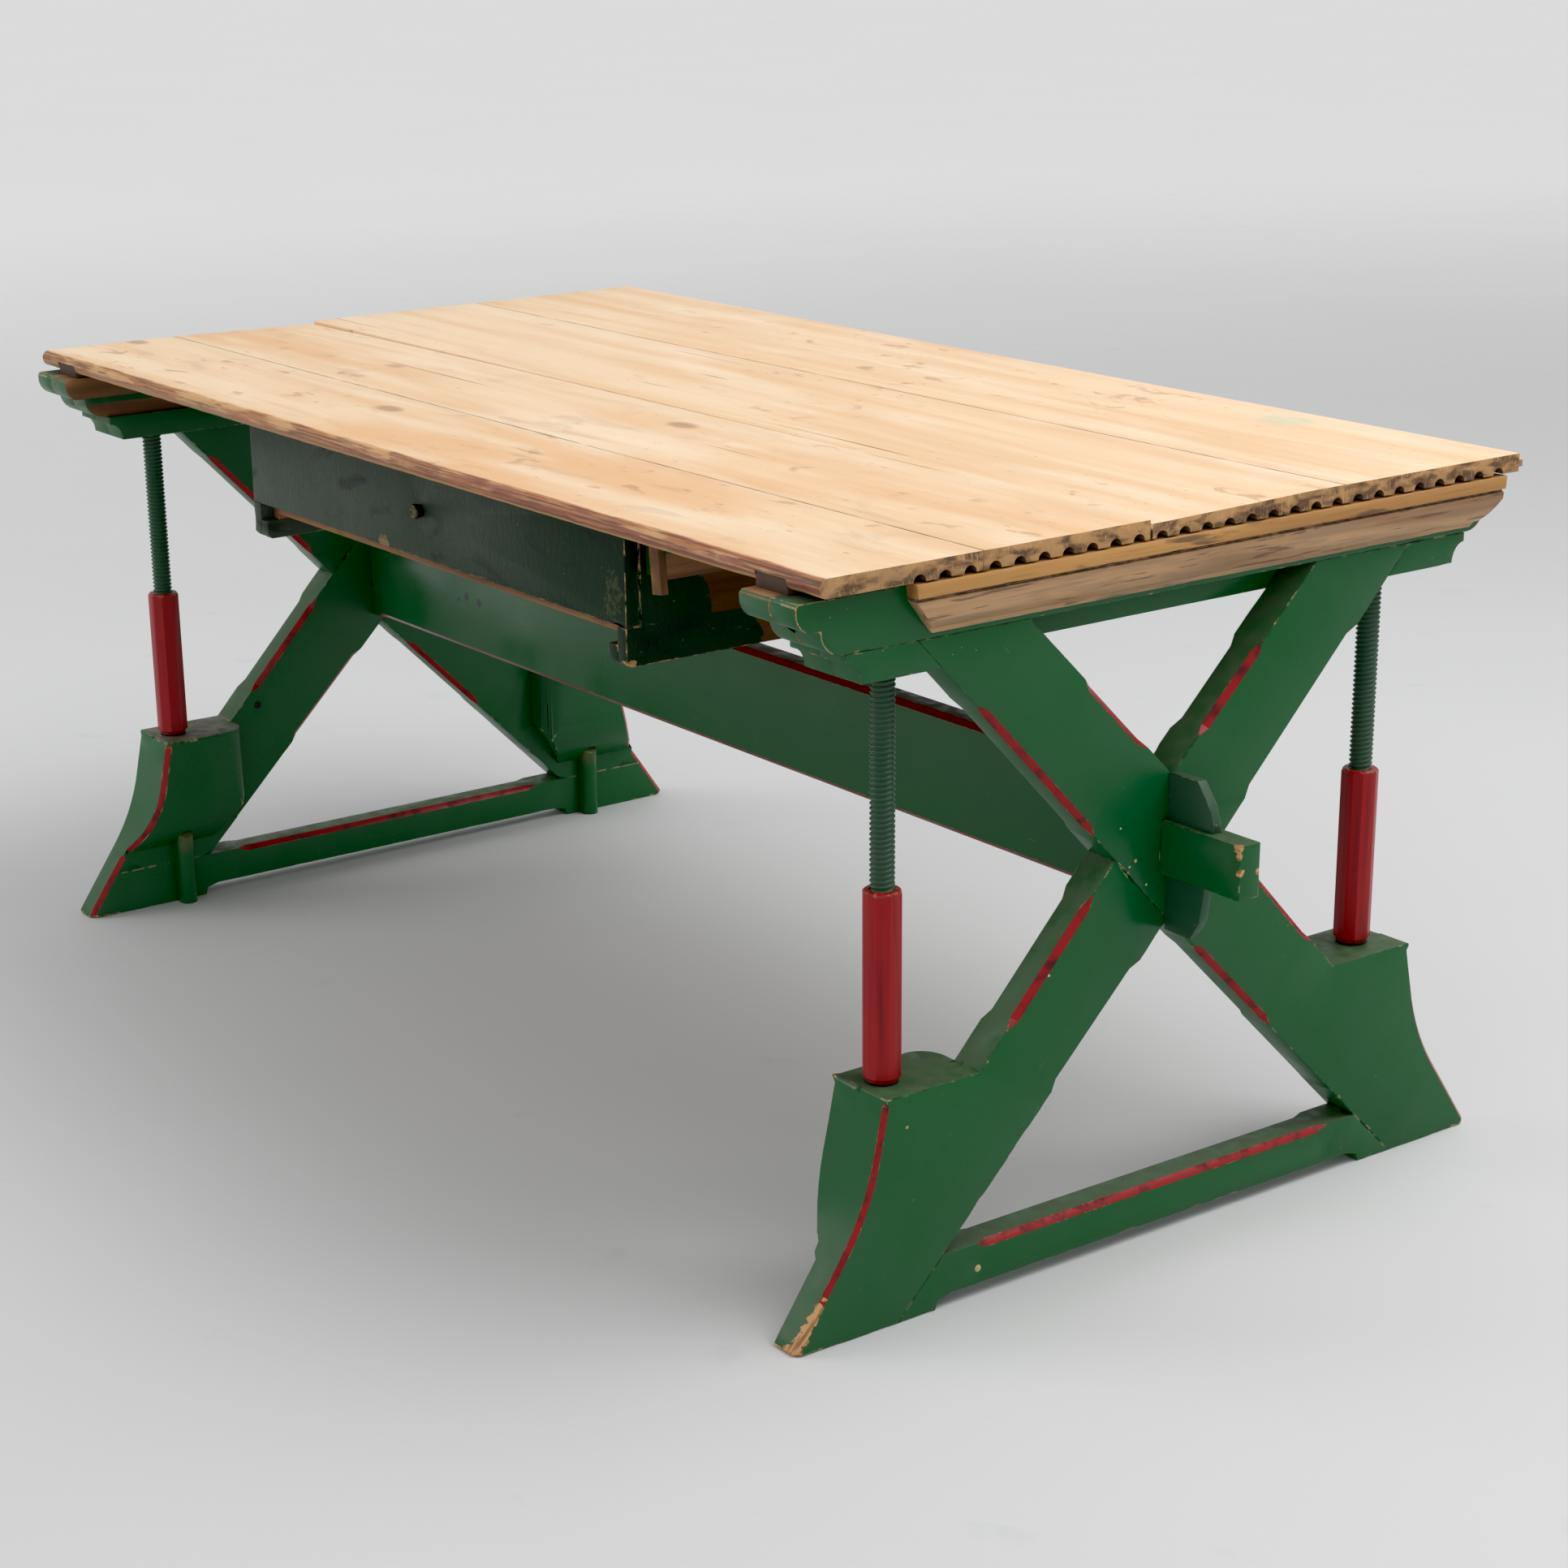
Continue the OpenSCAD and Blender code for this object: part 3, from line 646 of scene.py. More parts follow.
def drawer_paint():
    """Dull dark green with a painted sheen that makes it paler and greyer to the left, wrinkled and
    smeared.
    """
    g = Graph("ink_green_paint")
    colour, rough, height = oil_paint(g, INK_GREEN, INK_GREY, 0.5, DRAWER_CHIPS, chip_limit=0.50)
    # Painted sheen: paler, greyer colour towards the left.
    sheen_to_left = g.band(g.x, 0.42, -0.25)
    colour = g.blend(colour, (0.062, 0.082, 0.060), g.times(sheen_to_left, 0.78))
    smears = g.cloud(g.scaled(g.place, (9, 9, 26)), 1, 6, 1.5)
    colour = g.blend(colour, (0.010, 0.016, 0.013), g.band(smears, 0.55, 0.72, 0.7))
    scuff = g.spots(CORNER_SCUFF, ragged=0.6)
    scuff = g.times(scuff, g.band(g.cloud(g.place, 130, 4), 0.40, 0.60))
    colour = g.blend(colour, (0.110, 0.115, 0.050), g.times(scuff, 0.5))
    ticks = g.band(g.cloud(g.scaled(g.place, (60, 60, 210)), 1, 3), 0.70, 0.76, 0.5)
    colour = g.blend(colour, (0.120, 0.140, 0.100), ticks)
    raw = unpainted_rear(g)
    wood, _ = pine(g, (0.150, 0.066, 0.022), (0.070, 0.030, 0.011))
    colour = g.blend(colour, wood, raw)
    wrinkles = g.cloud(g.scaled(g.place, (190, 190, 75)), 1, 4, 1.0)
    rough = g.plus(g.most(rough, g.times(raw, 0.7)), g.times(wrinkles, 0.25))
    g.put(g.shader.inputs["Specular IOR Level"], 0.15)
    height = g.plus(height, g.times(wrinkles, 3.0))
    return g.finish(colour, rough, height, strength=0.6)


def painted_ends(g):
    """1 on end grain, where paint has not chipped off, and on a strip below the rails' joint."""
    end = g.band(g.size(g.axis(g.normal, 1)), 0.25, 0.35)
    chips = g.band(g.cloud(g.place, 70, 4), 0.68, 0.64)
    chips = g.times(chips, g.less(1.0, g.times(g.attribute(WORN), 0.8)))
    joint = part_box("rail_inner_right")[1].z
    strip = g.times(g.band(g.z, joint - 10 * MM, joint - 9 * MM), g.band(g.z, joint + 0.5 * MM, joint))
    return g.most(g.times(end, chips), strip)


def raw_wood(with_paint):
    """Aged pine: with green paint on its ends, or bare and dark towards the front."""
    g = Graph("raw_pine_painted_ends" if with_paint else "raw_pine_aged")
    colour, height = pine(g, RAW, RAW_DARK)
    stains = g.band(g.cloud(g.place, 19, 5), 0.55, 0.72)
    colour = g.blend(colour, (0.070, 0.036, 0.018), g.times(stains, 0.6))
    rough = 0.72
    if with_paint:
        painted = painted_ends(g)
        colour = g.blend(colour, GREEN_DULL, painted)
        rough = g.less(rough, g.times(painted, 0.35))
    else:
        # Darker towards the front.
        darker_at_front = g.band(g.y, -0.425, -0.440, 0.9)
        colour = g.blend(colour, (0.062, 0.038, 0.025), darker_at_front)
    return g.finish(colour, rough, height, strength=0.6)


def moulding_wood():
    """Ochre fillet over a groove with a painted shadow line, and a chipped grey-brown hollow."""
    g = Graph("ochre_moulding")
    depth = g.less(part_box("end_moulding_right")[1].z, g.z)
    hollow, height = pine(g, (0.560, 0.340, 0.175), (0.270, 0.140, 0.068))
    grey = g.band(g.cloud(g.scaled(g.grain, (7, 90, 90)), 1, 6), 0.47, 0.60)
    hollow = g.blend(hollow, (0.330, 0.215, 0.125), g.times(grey, 0.7))
    flakes = g.band(g.cloud(g.scaled(g.grain, (14, 190, 190)), 1, 5), 0.57, 0.64)
    hollow = g.blend(hollow, (0.130, 0.074, 0.040), g.times(flakes, 0.7))
    ochre, _ = pine(g, (0.600, 0.310, 0.090), (0.330, 0.145, 0.044))
    knots = g.band(g.cloud(g.scaled(g.grain, (9, 60, 60)), 1, 5), 0.60, 0.68)
    ochre = g.blend(ochre, (0.110, 0.060, 0.034), g.times(knots, 0.8))
    colour = g.blend(hollow, ochre, g.band(depth, 15 * MM, 14 * MM))
    # Painted shadow: a dark line along the groove under the fillet.
    groove_shade = g.times(g.band(depth, 19 * MM, 17 * MM), g.band(depth, 13.6 * MM, 14.4 * MM))
    colour = g.blend(colour, (0.085, 0.055, 0.036), g.times(groove_shade, 0.8))
    rub = g.times(g.attribute(WORN), g.band(g.cloud(g.place, 80, 4), 0.42, 0.60))
    colour = g.blend(colour, (0.500, 0.310, 0.160), g.times(rub, 0.7))
    return g.finish(colour, 0.62, height, strength=0.7)


def bleached_pine(g):
    """Colour and height of scrubbed boards: warmer in front, with pale streaks along the grain."""
    colour, height = pine(g, (0.880, 0.660, 0.435), (0.800, 0.530, 0.300), 0.9)
    warm = g.band(g.cloud(g.scaled(g.place, (1.8, 8, 1)), 1, 4), 0.46, 0.68)
    near = g.band(g.y, 0.20, -0.40, 0.55)
    colour = g.blend(colour, (0.780, 0.440, 0.200), g.times(warm, g.plus(near, 0.20)))
    pale = g.band(g.cloud(g.scaled(g.place, (3, 14, 1)), 1, 4), 0.50, 0.74)
    return g.blend(colour, (0.920, 0.750, 0.550), g.times(pale, 0.55)), height


def stains(g, colour):
    """Brown blots in clusters, and grime near the front edge."""
    blots = g.times(g.band(g.cloud(g.scaled(g.place, (17, 34, 1)), 1, 5, 0.6), 0.60, 0.70),
                    g.band(g.cloud(g.scaled(g.place, (2.3, 4, 1)), 1, 2), 0.46, 0.60))
    colour = g.blend(colour, (0.420, 0.200, 0.090), g.times(blots, 0.50))
    grime = g.times(g.band(g.cloud(g.scaled(g.place, (6, 15, 1)), 1, 6, 1.2), 0.56, 0.74),
                    g.band(g.y, 0.05, -0.25))
    colour = g.blend(colour, (0.330, 0.220, 0.140), g.times(grime, 0.26))
    return colour


def marks_in_the_wood(g, colour):
    """Dark ticks, knots, cracks along the grain and the dirty joints between the boards."""
    ticks = g.band(g.cloud(g.scaled(g.place, (36, 330, 1)), 1, 2), 0.70, 0.76)
    ticks = g.times(ticks, g.band(g.cloud(g.scaled(g.place, (4, 9, 1)), 1, 2), 0.45, 0.60))
    colour = g.blend(colour, (0.120, 0.066, 0.038), g.times(ticks, 0.75))
    knots = g.band(g.cells(g.scaled(g.grain, (2.6, 6.5, 0.2)), 1), 0.085, 0.035)
    colour = g.blend(colour, (0.360, 0.190, 0.090), g.times(knots, 0.65))
    cracks = g.band(g.cloud(g.scaled(g.place, (1.7, 95, 1)), 1, 2), 0.715, 0.735)
    cracks = g.times(cracks, g.band(g.cloud(g.scaled(g.place, (2, 9, 1)), 1, 2), 0.48, 0.56))
    colour = g.blend(colour, (0.180, 0.090, 0.045), g.times(cracks, 0.8))
    return g.blend(colour, (0.075, 0.040, 0.022), g.times(seam_lines(g), 0.85))


def scrubbed_top():
    """Bleached boards with marks and stains; weathered ends and a front edge with old paint."""
    g = Graph("scrubbed_pine_boards")
    colour, height = bleached_pine(g)
    colour = marks_in_the_wood(g, stains(g, colour))
    turquoise = g.times(stain_patch(g, (563, 432), (44, 32)), 0.42)
    colour = g.blend(colour, (0.330, 0.560, 0.430), turquoise)
    nose = nose_mask(g)
    colour = g.blend(colour, front_nose(g), g.times(nose, 0.96))
    ends = g.band(g.size(g.axis(g.normal, 0)), 0.55, 0.80)
    cut = g.most(ends, g.band(g.axis(g.normal, 2), -0.3, -0.6))
    colour = g.blend(colour, end_grain(g), cut)
    # Painted shade on the lower part of the boards: in the notches and on the underside.
    shade_in_notches_and_below = g.times(g.band(g.z, TOP_HIGH.z - 9 * MM, TOP_HIGH.z - 12 * MM),
                       g.less(1.0, ends), g.less(1.0, nose))
    colour = g.blend(colour, (0.060, 0.036, 0.020), g.times(shade_in_notches_and_below, 0.9))
    rough = g.plus(g.times(cut, 0.25), 0.50)
    height = g.plus(height, g.times(ends, g.cloud(g.place, 210, 4), 2.5))
    return g.finish(colour, rough, height, depth=0.5 * MM, strength=0.45)


def seam_lines(g):
    """Dirt along the closed joints between the boards, in lines of uneven width."""
    waver = g.times(g.cloud(g.scaled(g.place, (14, 14, 1)), 1, 3), 2.2 * MM)
    lines = None
    for board in ("top_board_1", "top_board_3"):
        away = g.size(g.less(g.y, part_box(board)[1].y))
        line = g.band(g.less(away, waver), 0.2 * MM, -0.6 * MM)
        lines = line if lines is None else g.most(lines, line)
    return lines


def stain_patch(g, centre, size):
    """A soft stain on the top, with centre and half size in millimetres."""
    x = g.calc("DIVIDE", g.less(g.x, centre[0] * MM), size[0] * MM)
    y = g.calc("DIVIDE", g.less(g.y, centre[1] * MM), size[1] * MM)
    away = g.plus(g.times(x, x), g.times(y, y))
    patchy = g.band(g.cloud(g.scaled(g.place, (30, 70, 1)), 1, 3), 0.3, 0.6)
    return g.times(g.band(away, 1.3, 0.1), patchy)


def nose_mask(g):
    """1 on the rounded front edge, fading into the flat of the top."""
    away = g.less(g.y, TOP_LOW.y)
    wander = g.times(g.less(g.cloud(g.scaled(g.place, (18, 60, 60)), 1, 4), 0.5), 9 * MM)
    return g.band(g.plus(away, wander), 11 * MM, 6 * MM)


def front_nose(g):
    """Streaks of bare and grimy wood above, rests of red paint below, redder to the right."""
    right = g.band(g.x, -0.50, 0.50)
    wear = g.cloud(g.scaled(g.place, (10, 420, 420)), 1, 5)
    patch = g.cloud(g.scaled(g.place, (11, 70, 70)), 1, 5)
    colour = g.blend((0.620, 0.340, 0.140), (0.420, 0.165, 0.050), g.band(patch, 0.42, 0.54))
    lines = g.band(wear, 0.49, 0.56)
    dirt = g.times(lines, g.band(patch, 0.34, 0.52), g.plus(g.times(right, 0.25), 0.65))
    colour = g.blend(colour, (0.085, 0.038, 0.022), dirt)
    red_lines = g.times(g.band(g.cloud(g.scaled(g.place, (8, 300, 300)), 1, 4), 0.48, 0.56), right)
    colour = g.blend(colour, (0.230, 0.030, 0.022), g.times(red_lines, 0.75))
    low = g.plus(g.z, g.times(g.less(patch, 0.5), 14 * MM))
    low = g.band(low, TOP_LOW.z + 10 * MM, TOP_LOW.z + 6 * MM)
    paint = g.blend((0.290, 0.150, 0.120), (0.175, 0.030, 0.028), right)
    return g.blend(colour, paint, g.times(low, 0.85))


def end_grain(g):
    """Weathered sawn ends: grey-brown with dark blotches and upright scratches."""
    blotch = g.cloud(g.scaled(g.place, (1, 34, 90)), 1, 6, 0.6)
    colour = g.blend((0.500, 0.275, 0.110), (0.130, 0.066, 0.030), g.band(blotch, 0.40, 0.66))
    saw = g.cloud(g.scaled(g.place, (1, 420, 120)), 1, 3)
    colour = g.blend(colour, (0.600, 0.400, 0.220), g.band(saw, 0.54, 0.72, 0.6))
    grey = g.band(g.cloud(g.scaled(g.place, (1, 9, 30)), 1, 4), 0.52, 0.66)
    return g.blend(colour, (0.210, 0.150, 0.095), g.times(grey, 0.25))


def bronze():
    g = Graph("dark_bronze")
    tone = g.cloud(g.place, 300, 4)
    colour = g.blend((0.050, 0.042, 0.026), (0.200, 0.165, 0.095), g.band(tone, 0.45, 0.75))
    g.put(g.shader.inputs["Metallic"], 0.85)
    return g.finish(colour, g.plus(g.times(tone, 0.35), 0.2), tone, strength=0.2)


# ---------- pieces made from their CAD nodes ----------

def leg_along(node):
    """The direction in which a leg climbs, and its grain with it."""
    return (0, 0.69 if "front" in node else -0.69, 0.72)


def make_legs(material):
    for node in [n for n in NODES if n.startswith("leg_")]:
        bm = copy_of(node)
        mark_leg_chamfers(bm)
        chamfer_foot(bm, 1)
        chamfer_foot(bm, -1, low=SLEDGE_Z, high=BLOCK_END_Z - 6 * MM, width=6 * MM)
        blunt_toe(bm)
        add_piece(node, soften(bm, node, 3.4 * MM, glued=(LAYER_X, LAP_X)), material, leg_along(node))


def make_feet(material):
    for node in [n for n in NODES if n.startswith("foot_block_")]:
        bm = copy_of(node)
        chamfer_foot(bm, -1, width=6.5 * MM)
        mesh = soften(bm, node, 8 * MM, 1.0, least=0.62, glued=(LAYER_X,),
                      thin_below=BLOCK_END_Z + 9 * MM)
        add_piece(node, mesh, material, leg_along(node))


def make_bottom_rails(material):
    for node in ("bottom_rail_right", "bottom_rail_left"):
        bm = copy_of(node)
        mark_cut_chamfers(bm, (0, 2))
        chamfer_foot(bm, -1, width=6 * MM)
        blunt_toe(bm)
        add_piece(node, soften(bm, node, 3.0 * MM, glued=(LAP_X,)), material, (0, 1, 0))


def make_stretcher(material):
    bm = copy_of("stretcher")
    mark_cut_chamfers(bm, (1, 2))
    add_piece("stretcher", soften(bm, "stretcher", 3.4 * MM), material, (1, 0, 0))


def make_plain(nodes, material, along, width, chips=2.0):
    """Pieces that only need softened, chipped edges."""
    for node in nodes:
        add_piece(node, soften(copy_of(node), node, width, chips), material, along)


# ---------- the top ----------

def sink(x, y):
    """How far the old boards lie below the highest point of the top."""
    across = max(0.0, 1 - abs(y - GAP_Y) / 0.22)
    end = x / TOP_HIGH.x
    left, right = max(0.0, -end) ** 2, max(0.0, end) ** 2
    twist = 4.0 * left if y < GAP_Y else 4.5 * right
    ripple = 0.5 + 0.5 * noise.noise(Vector((x * 2.3, y * 6, 1.7)))
    return (0.6 * ripple + twist * across) * MM


def bend_board(bm):
    """Lowers the upper part of a board to its warped surface."""
    thick = TOP_HIGH.z - TOP_LOW.z
    for vert in bm.verts:
        share = (vert.co.z - TOP_LOW.z) / thick
        vert.co.z -= max(0.0, share) ** 2 * sink(vert.co.x, vert.co.y)


def dent_nose(bm):
    """Pushes the rounded front edge in where it has been knocked."""
    for vert in bm.verts:
        if vert.co.y < TOP_LOW.y + 9 * MM:
            knock = noise.noise(Vector((vert.co.x * 38, 2, vert.co.z * 60)))
            knock += 0.5 * noise.noise(Vector((vert.co.x * 140, 5, vert.co.z * 160)))
            vert.co.y += max(0.0, knock + 0.25) * 1.3 * MM


def steps(low, high, count):
    return [low + (high - low) * i / count for i in range(1, count)]


def make_top(material):
    """The four boards; the first is sliced finely because its front edge is dented."""
    for number in range(1, 5):
        node = f"top_board_{number}"
        low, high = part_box(node)
        bm = copy_of(node)
        slice_along(bm, 0, steps(low.x, high.x, 150 if number == 1 else 24))
        slice_along(bm, 1, steps(low.y, high.y, 5))
        bend_board(bm)
        if number == 1:
            dent_nose(bm)
        add_piece(node, soften(bm, node, 1.6 * MM, 2.5), material, (1, 0, 0))


# ---------- screws and nuts ----------

PITCH = 5.3 * MM
THREAD = (0.0, 0.0, 0.55, 1.0, 1.0, 0.55)      # share of the thread's depth round one pitch
THREAD_DEPTH = 2 * MM
ROOT_RADIUS = 10.7 * MM                        # of a screw, under its thread
ROUND = 40                                     # points round a screw


def round_points(centre, radius, z, count):
    """Points of a level circle."""
    turns = [2 * math.pi * i / count for i in range(count)]
    return [(centre.x + radius * math.cos(a), centre.y + radius * math.sin(a), z) for a in turns]


def join_rings(bm, rings):
    """Joins each ring of vertices to the next with four-sided faces."""
    for near, far in zip(rings, rings[1:]):
        for i in range(len(near)):
            j = (i + 1) % len(near)
            bm.faces.new((near[i], near[j], far[j], far[i]))


def helix_rings(low, high):
    """Rows of thread height that climb by one pitch a turn."""
    per_turn = len(THREAD)
    for row in range(-per_turn, int((high - low) / PITCH * per_turn) + 1):
        yield row, low + row * PITCH / per_turn


def threaded_rod(node, tip=9 * MM):
    """A screw with a true helical thread and a plain domed tip; its hidden lower end is open."""
    low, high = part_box(node)
    centre, radius = (low + high) / 2, (high.x - low.x) / 2
    bm = bmesh.new()
    bm.faces.layers.int.new(STRIPE)
    rows = []
    for row, start in helix_rings(low.z, high.z - tip):
        reach = radius - THREAD_DEPTH * (1 - THREAD[row % len(THREAD)])
        rows.append([rod_point(bm, centre, reach, i, start, low.z, high.z - tip) for i in range(ROUND)])
    join_helix(bm, rows)
    bmesh.ops.remove_doubles(bm, verts=bm.verts, dist=0.05 * MM)
    dome(bm, centre, radius - THREAD_DEPTH, high.z - tip, high.z)
    return bm


def rod_point(bm, centre, reach, i, start, low, high):
    angle = 2 * math.pi * i / ROUND
    z = min(high, max(low, start + PITCH * i / ROUND))
    if z in (low, high):
        reach = min(reach, ROOT_RADIUS)
    return bm.verts.new((centre.x + reach * math.cos(angle), centre.y + reach * math.sin(angle), z))


def join_helix(bm, rows):
    """Joins neighbouring rows; the last column meets the first one a full turn higher."""
    turn = len(THREAD)
    for r in range(len(rows) - 1):
        for i in range(ROUND):
            last = i == ROUND - 1
            up = r + turn
            if last and up + 1 >= len(rows):
                continue
            right = (rows[up][0], rows[up + 1][0]) if last else (rows[r][i + 1], rows[r + 1][i + 1])
            bm.faces.new((rows[r][i], right[0], right[1], rows[r + 1][i]))


def dome(bm, centre, radius, low, high):
    """Closes the rod's upper end with a rounded tip."""
    rings = []
    for k in range(7):
        angle = math.pi / 2 * k / 7
        reach = radius * (0.62 + 0.38 * math.cos(angle))
        z = low + (high - low) * math.sin(angle)
        rings.append([bm.verts.new(p) for p in round_points(centre, reach, z, ROUND)])
    join_rings(bm, rings)
    bm.faces.new(rings[-1])


def plain_mesh(bm, name, crease=50):
    """A smooth mesh with no worn faces, creased where it turns more than so many degrees."""
    bmesh.ops.recalc_face_normals(bm, faces=bm.faces)
    mesh = bpy.data.meshes.new(name)
    bm.to_mesh(mesh)
    bm.free()
    mesh.shade_smooth()
    mesh.set_sharp_from_angle(angle=math.radians(crease))
    mesh.attributes.new(WORN, "FLOAT", "FACE")
    return mesh


def make_screws(material):
    for node in [n for n in NODES if n.startswith("screw_")]:
        add_piece(node, plain_mesh(threaded_rod(node), node), material, (0, 0, 1))


# How far each nut stands turned on its screw, in degrees.
NUT_TURNS = {"nut_front_right": 11.6, "nut_rear_right": 31, "nut_front_left": -8, "nut_rear_left": 20}


NUT_POINTS = 64                                # points round a nut


def octagon_reach(angle, flat):
    """Distance from the axis to the side of an octagon with that half width across flats."""
    eighth = math.pi / 4
    return flat / math.cos((angle + eighth / 2) % eighth - eighth / 2)


def nut_mesh(node):
    """A long octagonal nut with a turned collar below and a chamfered top, bored for the screw."""
    low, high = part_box(node)
    centre = (low + high) / 2
    flat = (high.y - low.y) / 2
    bore, collar = 12.9 * MM, 17.2 * MM
    turn = math.radians(NUT_TURNS[node])
    # Height, radius, and whether the ring is cut off by the flats of the octagon.
    rows = [(low.z, bore, False), (low.z, collar, False), (low.z + 5 * MM, collar, False),
            (low.z + 5.2 * MM, flat - 1.2 * MM, True), (low.z + 7 * MM, flat + 3 * MM, True),
            (high.z - 3 * MM, flat + 3 * MM, True), (high.z - 1.4 * MM, flat + 0.3 * MM, True),
            (high.z - 0.4 * MM, flat - 0.8 * MM, True), (high.z, flat - 2 * MM, True),
            (high.z, bore, False), (high.z - 9 * MM, bore, False)]
    bm = bmesh.new()
    bm.faces.layers.int.new(STRIPE)
    rings = []
    for z, radius, cut in rows:
        ring = []
        for i in range(NUT_POINTS):
            angle = 2 * math.pi * i / NUT_POINTS
            out = min(radius, octagon_reach(angle, flat)) if cut else radius
            x = centre.x + out * math.cos(angle + turn)
            y = centre.y + out * math.sin(angle + turn)
            ring.append(bm.verts.new((x, y, z)))
        rings.append(ring)
    join_rings(bm, rings + rings[:1])
    return bm


def make_nuts(material):
    for node in NUT_TURNS:
        mesh = plain_mesh(nut_mesh(node), node, crease=25)
        worn = mesh.attributes[WORN]
        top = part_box(node)[1].z
        for face in mesh.polygons:
            worn.data[face.index].value = 1.0 if face.center.z > top - 7 * MM else 0.0
        add_piece(node, mesh, material, (0, 0, 1))


# Outline of the knob: depth from the drawer's face in millimetres, and share of its full radius.
KNOB_OUTLINE = [(12, 0.40), (0, 0.40), (0, 0.80), (-2, 0.84), (-4, 0.94), (-6, 1.0), (-8.4, 1.0),
                (-10, 0.94), (-10.9, 0.82), (-10.8, 0.70), (-9.8, 0.60), (-9.2, 0.42), (-9.6, 0.20),
                (-9.7, 0.05)]
KNOB_POINTS = 48


def make_knob(material):
    """The turned knob: a stout neck and a raised rim round a sunken face."""
    low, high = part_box("drawer_knob")
    centre = (low + high) / 2
    radius = (high.x - low.x) / 2
    bm = bmesh.new()
    bm.faces.layers.int.new(STRIPE)
    rings = []
    for depth, share in KNOB_OUTLINE:
        y = max(low.y, DRAWER_FACE_Y + depth * MM)
        ring = []
        for i in range(KNOB_POINTS):
            angle = 2 * math.pi * i / KNOB_POINTS
            x = centre.x + share * radius * math.cos(angle)
            z = centre.z + share * radius * math.sin(angle)
            ring.append(bm.verts.new((x, y, z)))
        rings.append(ring)
    join_rings(bm, rings)
    bm.faces.new(rings[0])
    bm.faces.new(rings[-1])
    add_piece("drawer_knob", plain_mesh(bm, "drawer_knob"), material, (0, 1, 0))


# ---------- studio ----------

KEY_PLACE = (1.7, 1.5, 4.2)
FLOOR_GLOW = 0.29              # brightness that the far floor lacks
FLOOR_REACH = 90
VIEW_YAW = math.radians(54.564)
VIEW_PITCH = math.radians(18.456)
VIEW_ROLL = math.radians(-0.805)
VIEW_PLACE = (3.03786, -2.11268, 1.42958)


def floor_paper():
    """Pale paper that glows a little far from the key light, so that it looks even."""
    g = Graph("studio_paper")
    tone = g.cloud(g.place, 1.1, 4)
    smudge = g.band(g.cloud(g.place, 7, 5), 0.66, 0.74)
    colour = g.blend((0.655, 0.658, 0.656), (0.695, 0.697, 0.695), tone)
    colour = g.blend(colour, (0.590, 0.600, 0.605), g.times(smudge, 0.4))
    away = g.far_from(g.place, (KEY_PLACE[0], KEY_PLACE[1], 0))
    g.put(g.shader.inputs["Emission Color"], (1.0, 1.0, 1.0))
    g.put(g.shader.inputs["Emission Strength"], g.band(away, 2.6, 11.0, FLOOR_GLOW))
    return clear_from_below(g, g.finish(colour, 0.75))


def clear_from_below(g, material):
    """Lets a view from under the floor see the piece."""
    either = g.add("MixShader")
    g.put(either.inputs[0], g.add("NewGeometry").outputs["Backfacing"])
    g.put(either.inputs[1], g.shader.outputs[0])
    g.put(either.inputs[2], g.add("BsdfTransparent").outputs[0])
    g.put(g.tree.nodes["Material Output"].inputs["Surface"], either.outputs[0])
    return material


def make_floor():
    """A floor that reaches to the horizon on every side."""
    bm = bmesh.new()
    corners = ((-1, -1), (1, -1), (1, 1), (-1, 1))
    bm.faces.new([bm.verts.new((x * FLOOR_REACH, y * FLOOR_REACH, 0)) for x, y in corners])
    mesh = bpy.data.meshes.new("floor")
    bm.to_mesh(mesh)
    bm.free()
    mesh.materials.append(floor_paper())
    floor = bpy.data.objects.new("floor", mesh)
    bpy.context.scene.collection.objects.link(floor)


def add_softbox(name, place, target, size, watts):
    light = bpy.data.lights.new(name, "AREA")
    light.shape = "RECTANGLE"
    light.size, light.size_y = size
    light.energy = watts
    lamp = bpy.data.objects.new(name, light)
    lamp.location = place
    lamp.rotation_euler = (Vector(target) - Vector(place)).to_track_quat("-Z", "Y").to_euler()
    bpy.context.scene.collection.objects.link(lamp)


def make_lights():
    world = bpy.data.worlds.new("studio")
    world.use_nodes = True
    background = world.node_tree.nodes["Background"]
    background.inputs["Color"].default_value = (0.99, 0.99, 1.0, 1.0)
    background.inputs["Strength"].default_value = 0.60
    bpy.context.scene.world = world
    add_softbox("key", KEY_PLACE, (0, 0, 0.5), (3.0, 3.0), 120)
    add_softbox("left_fill", (-3.0, -3.4, 2.6), (-0.4, 0, 0.5), (2.4, 2.4), 42)


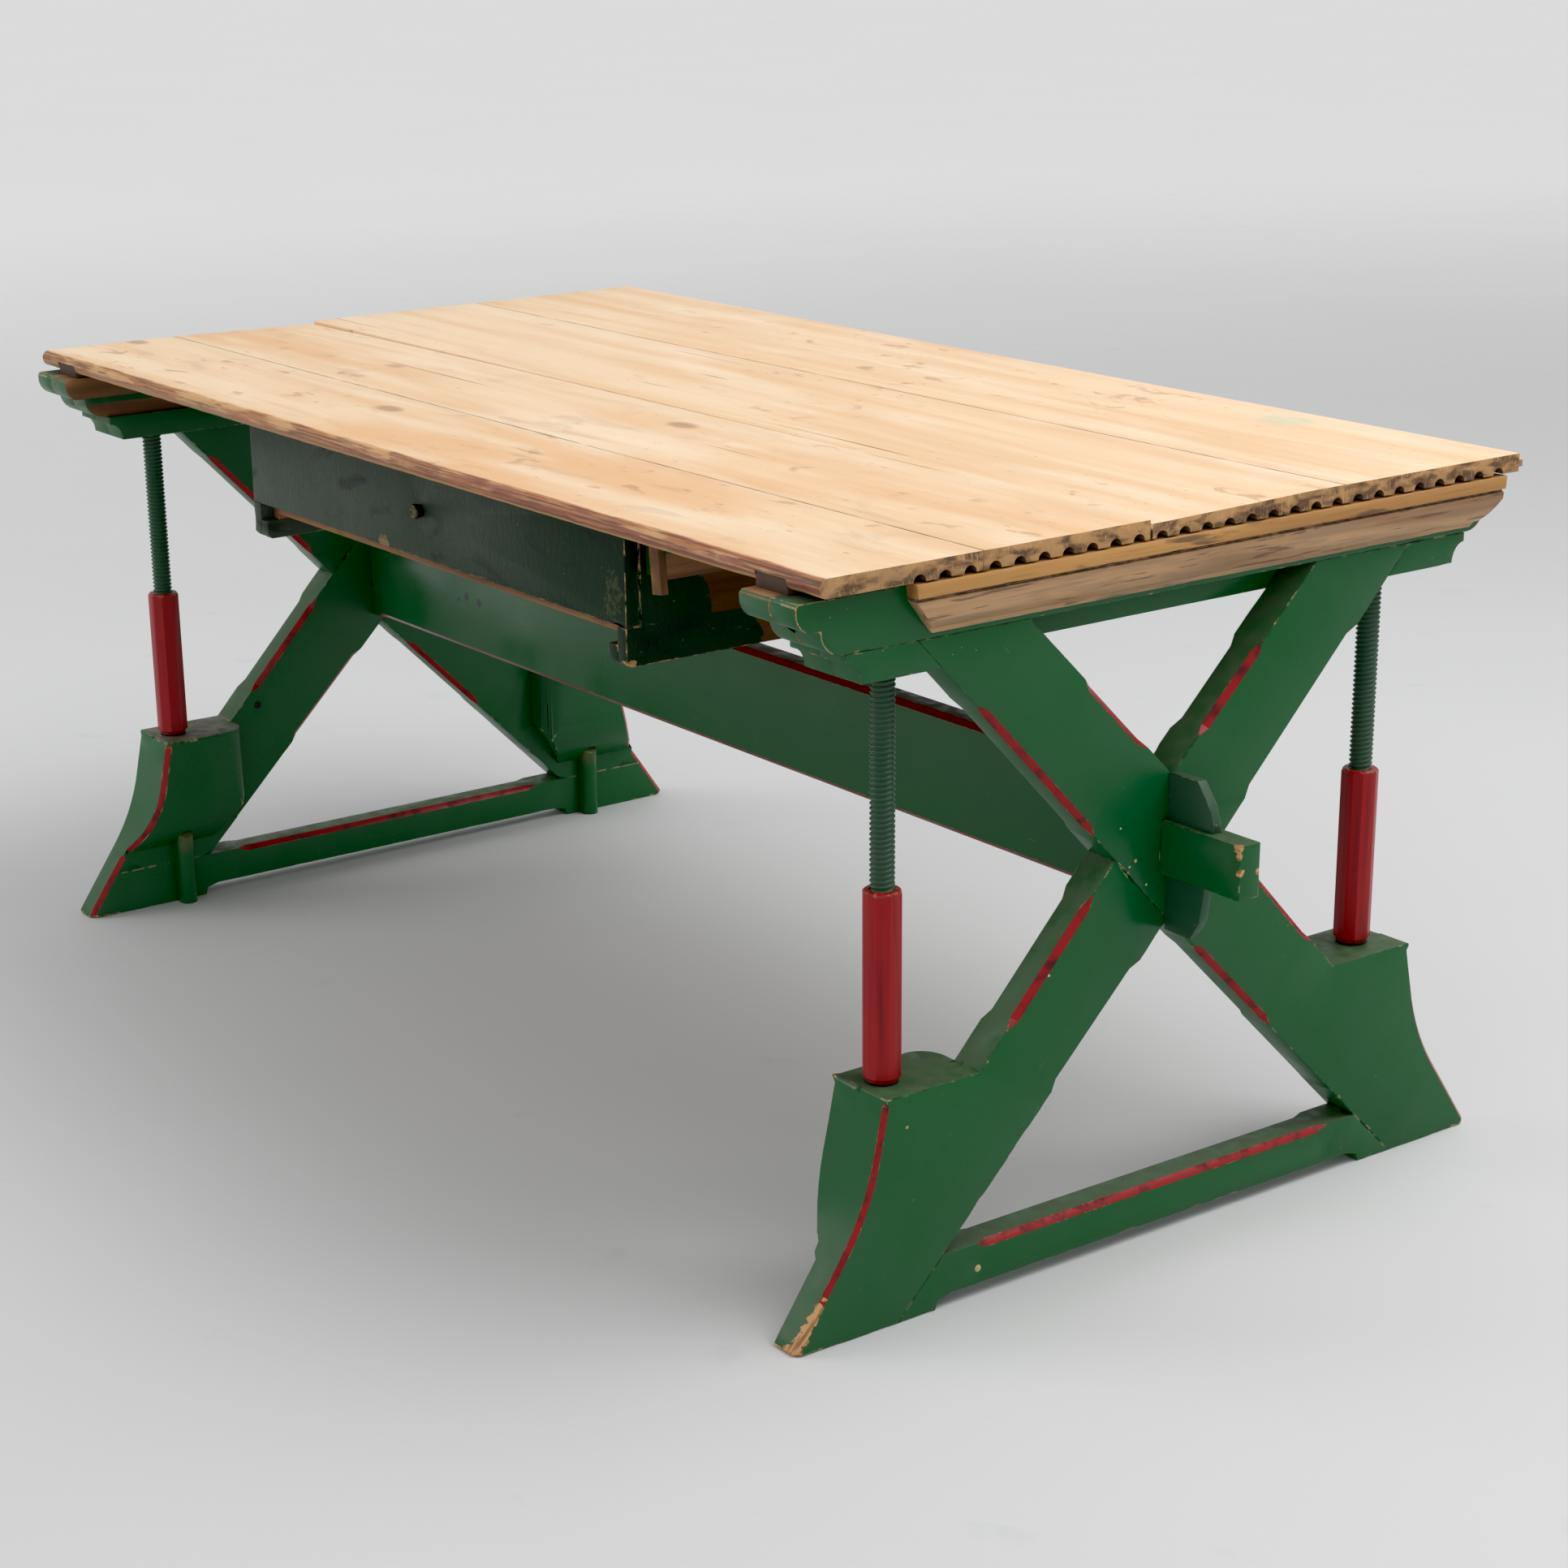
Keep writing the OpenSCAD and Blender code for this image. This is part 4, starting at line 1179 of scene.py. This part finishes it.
def make_camera():
    """A long lens on the right, looking down the length of the table."""
    reach = math.cos(VIEW_PITCH)
    ahead = Vector((-math.sin(VIEW_YAW) * reach, math.cos(VIEW_YAW) * reach, -math.sin(VIEW_PITCH)))
    level = ahead.cross(Vector((0, 0, 1))).normalized()
    upright = level.cross(ahead)
    right = level * math.cos(VIEW_ROLL) + upright * math.sin(VIEW_ROLL)
    up = upright * math.cos(VIEW_ROLL) - level * math.sin(VIEW_ROLL)
    data = bpy.data.cameras.new("camera")
    data.sensor_width = 36
    data.lens = 70.49
    data.shift_x = 0.0323
    data.shift_y = 0.0507
    data.clip_end = 200
    camera = bpy.data.objects.new("camera", data)
    turn = Matrix((right, up, -ahead)).transposed().to_4x4()
    camera.matrix_world = Matrix.Translation(VIEW_PLACE) @ turn
    bpy.context.scene.collection.objects.link(camera)
    bpy.context.scene.camera = camera


def set_tone():
    """Plain colour output with slightly deepened blacks, so that paint keeps its strength."""
    view = bpy.context.scene.view_settings
    view.view_transform = "Standard"
    view.look = "None"
    view.use_curve_mapping = True
    view.curve_mapping.black_level = (0.007, 0.007, 0.007)
    view.curve_mapping.update()


# ---------- the scene ----------

def both(name):
    return [name + "_right", name + "_left"]


def build():
    green = trestle_paint()
    make_legs(green)
    make_feet(green)
    make_bottom_rails(green)
    make_stretcher(green)
    make_plain(both("rail_outer") + both("bearer"), green, (0, 1, 0), 3.2 * MM)
    make_plain([n for n in NODES if n.startswith("corbel_")], green, (0, 1, 0), 2.6 * MM)
    make_plain(both("wedge"), screw_paint(), (0, 0, 1), 2.4 * MM)
    make_plain(["foot_pegs"], peg_paint(), (0, 0, 1), 2.4 * MM)
    ends = raw_wood(True)
    make_plain(both("rail_inner") + both("rail_bar") + both("cleat"), ends, (0, 1, 0), 3.0 * MM)
    raw = raw_wood(False)
    make_plain(both("batten") + both("drawer_side"), raw, (0, 1, 0), 1.6 * MM)
    make_plain(["drawer_back", "drawer_bottom"], raw, (1, 0, 0), 1.0 * MM)
    make_plain(["rail_dowels"], dowel_wood(), (1, 0, 0), 0.6 * MM)
    make_plain(["stop_stick"], raw, (0, 0, 1), 1.6 * MM)
    ink = drawer_paint()
    make_plain(["drawer_front"], ink, (1, 0, 0), 3.0 * MM, 3.0)
    make_plain(both("hanger") + both("runner"), ink, (0, 1, 0), 3.2 * MM, 3.0)
    make_plain(both("end_moulding"), moulding_wood(), (0, 1, 0), 2.2 * MM, 3.0)
    make_top(scrubbed_top())
    make_screws(screw_paint())
    make_nuts(nut_paint())
    make_knob(bronze())


build()
make_floor()
make_lights()
make_camera()
set_tone()
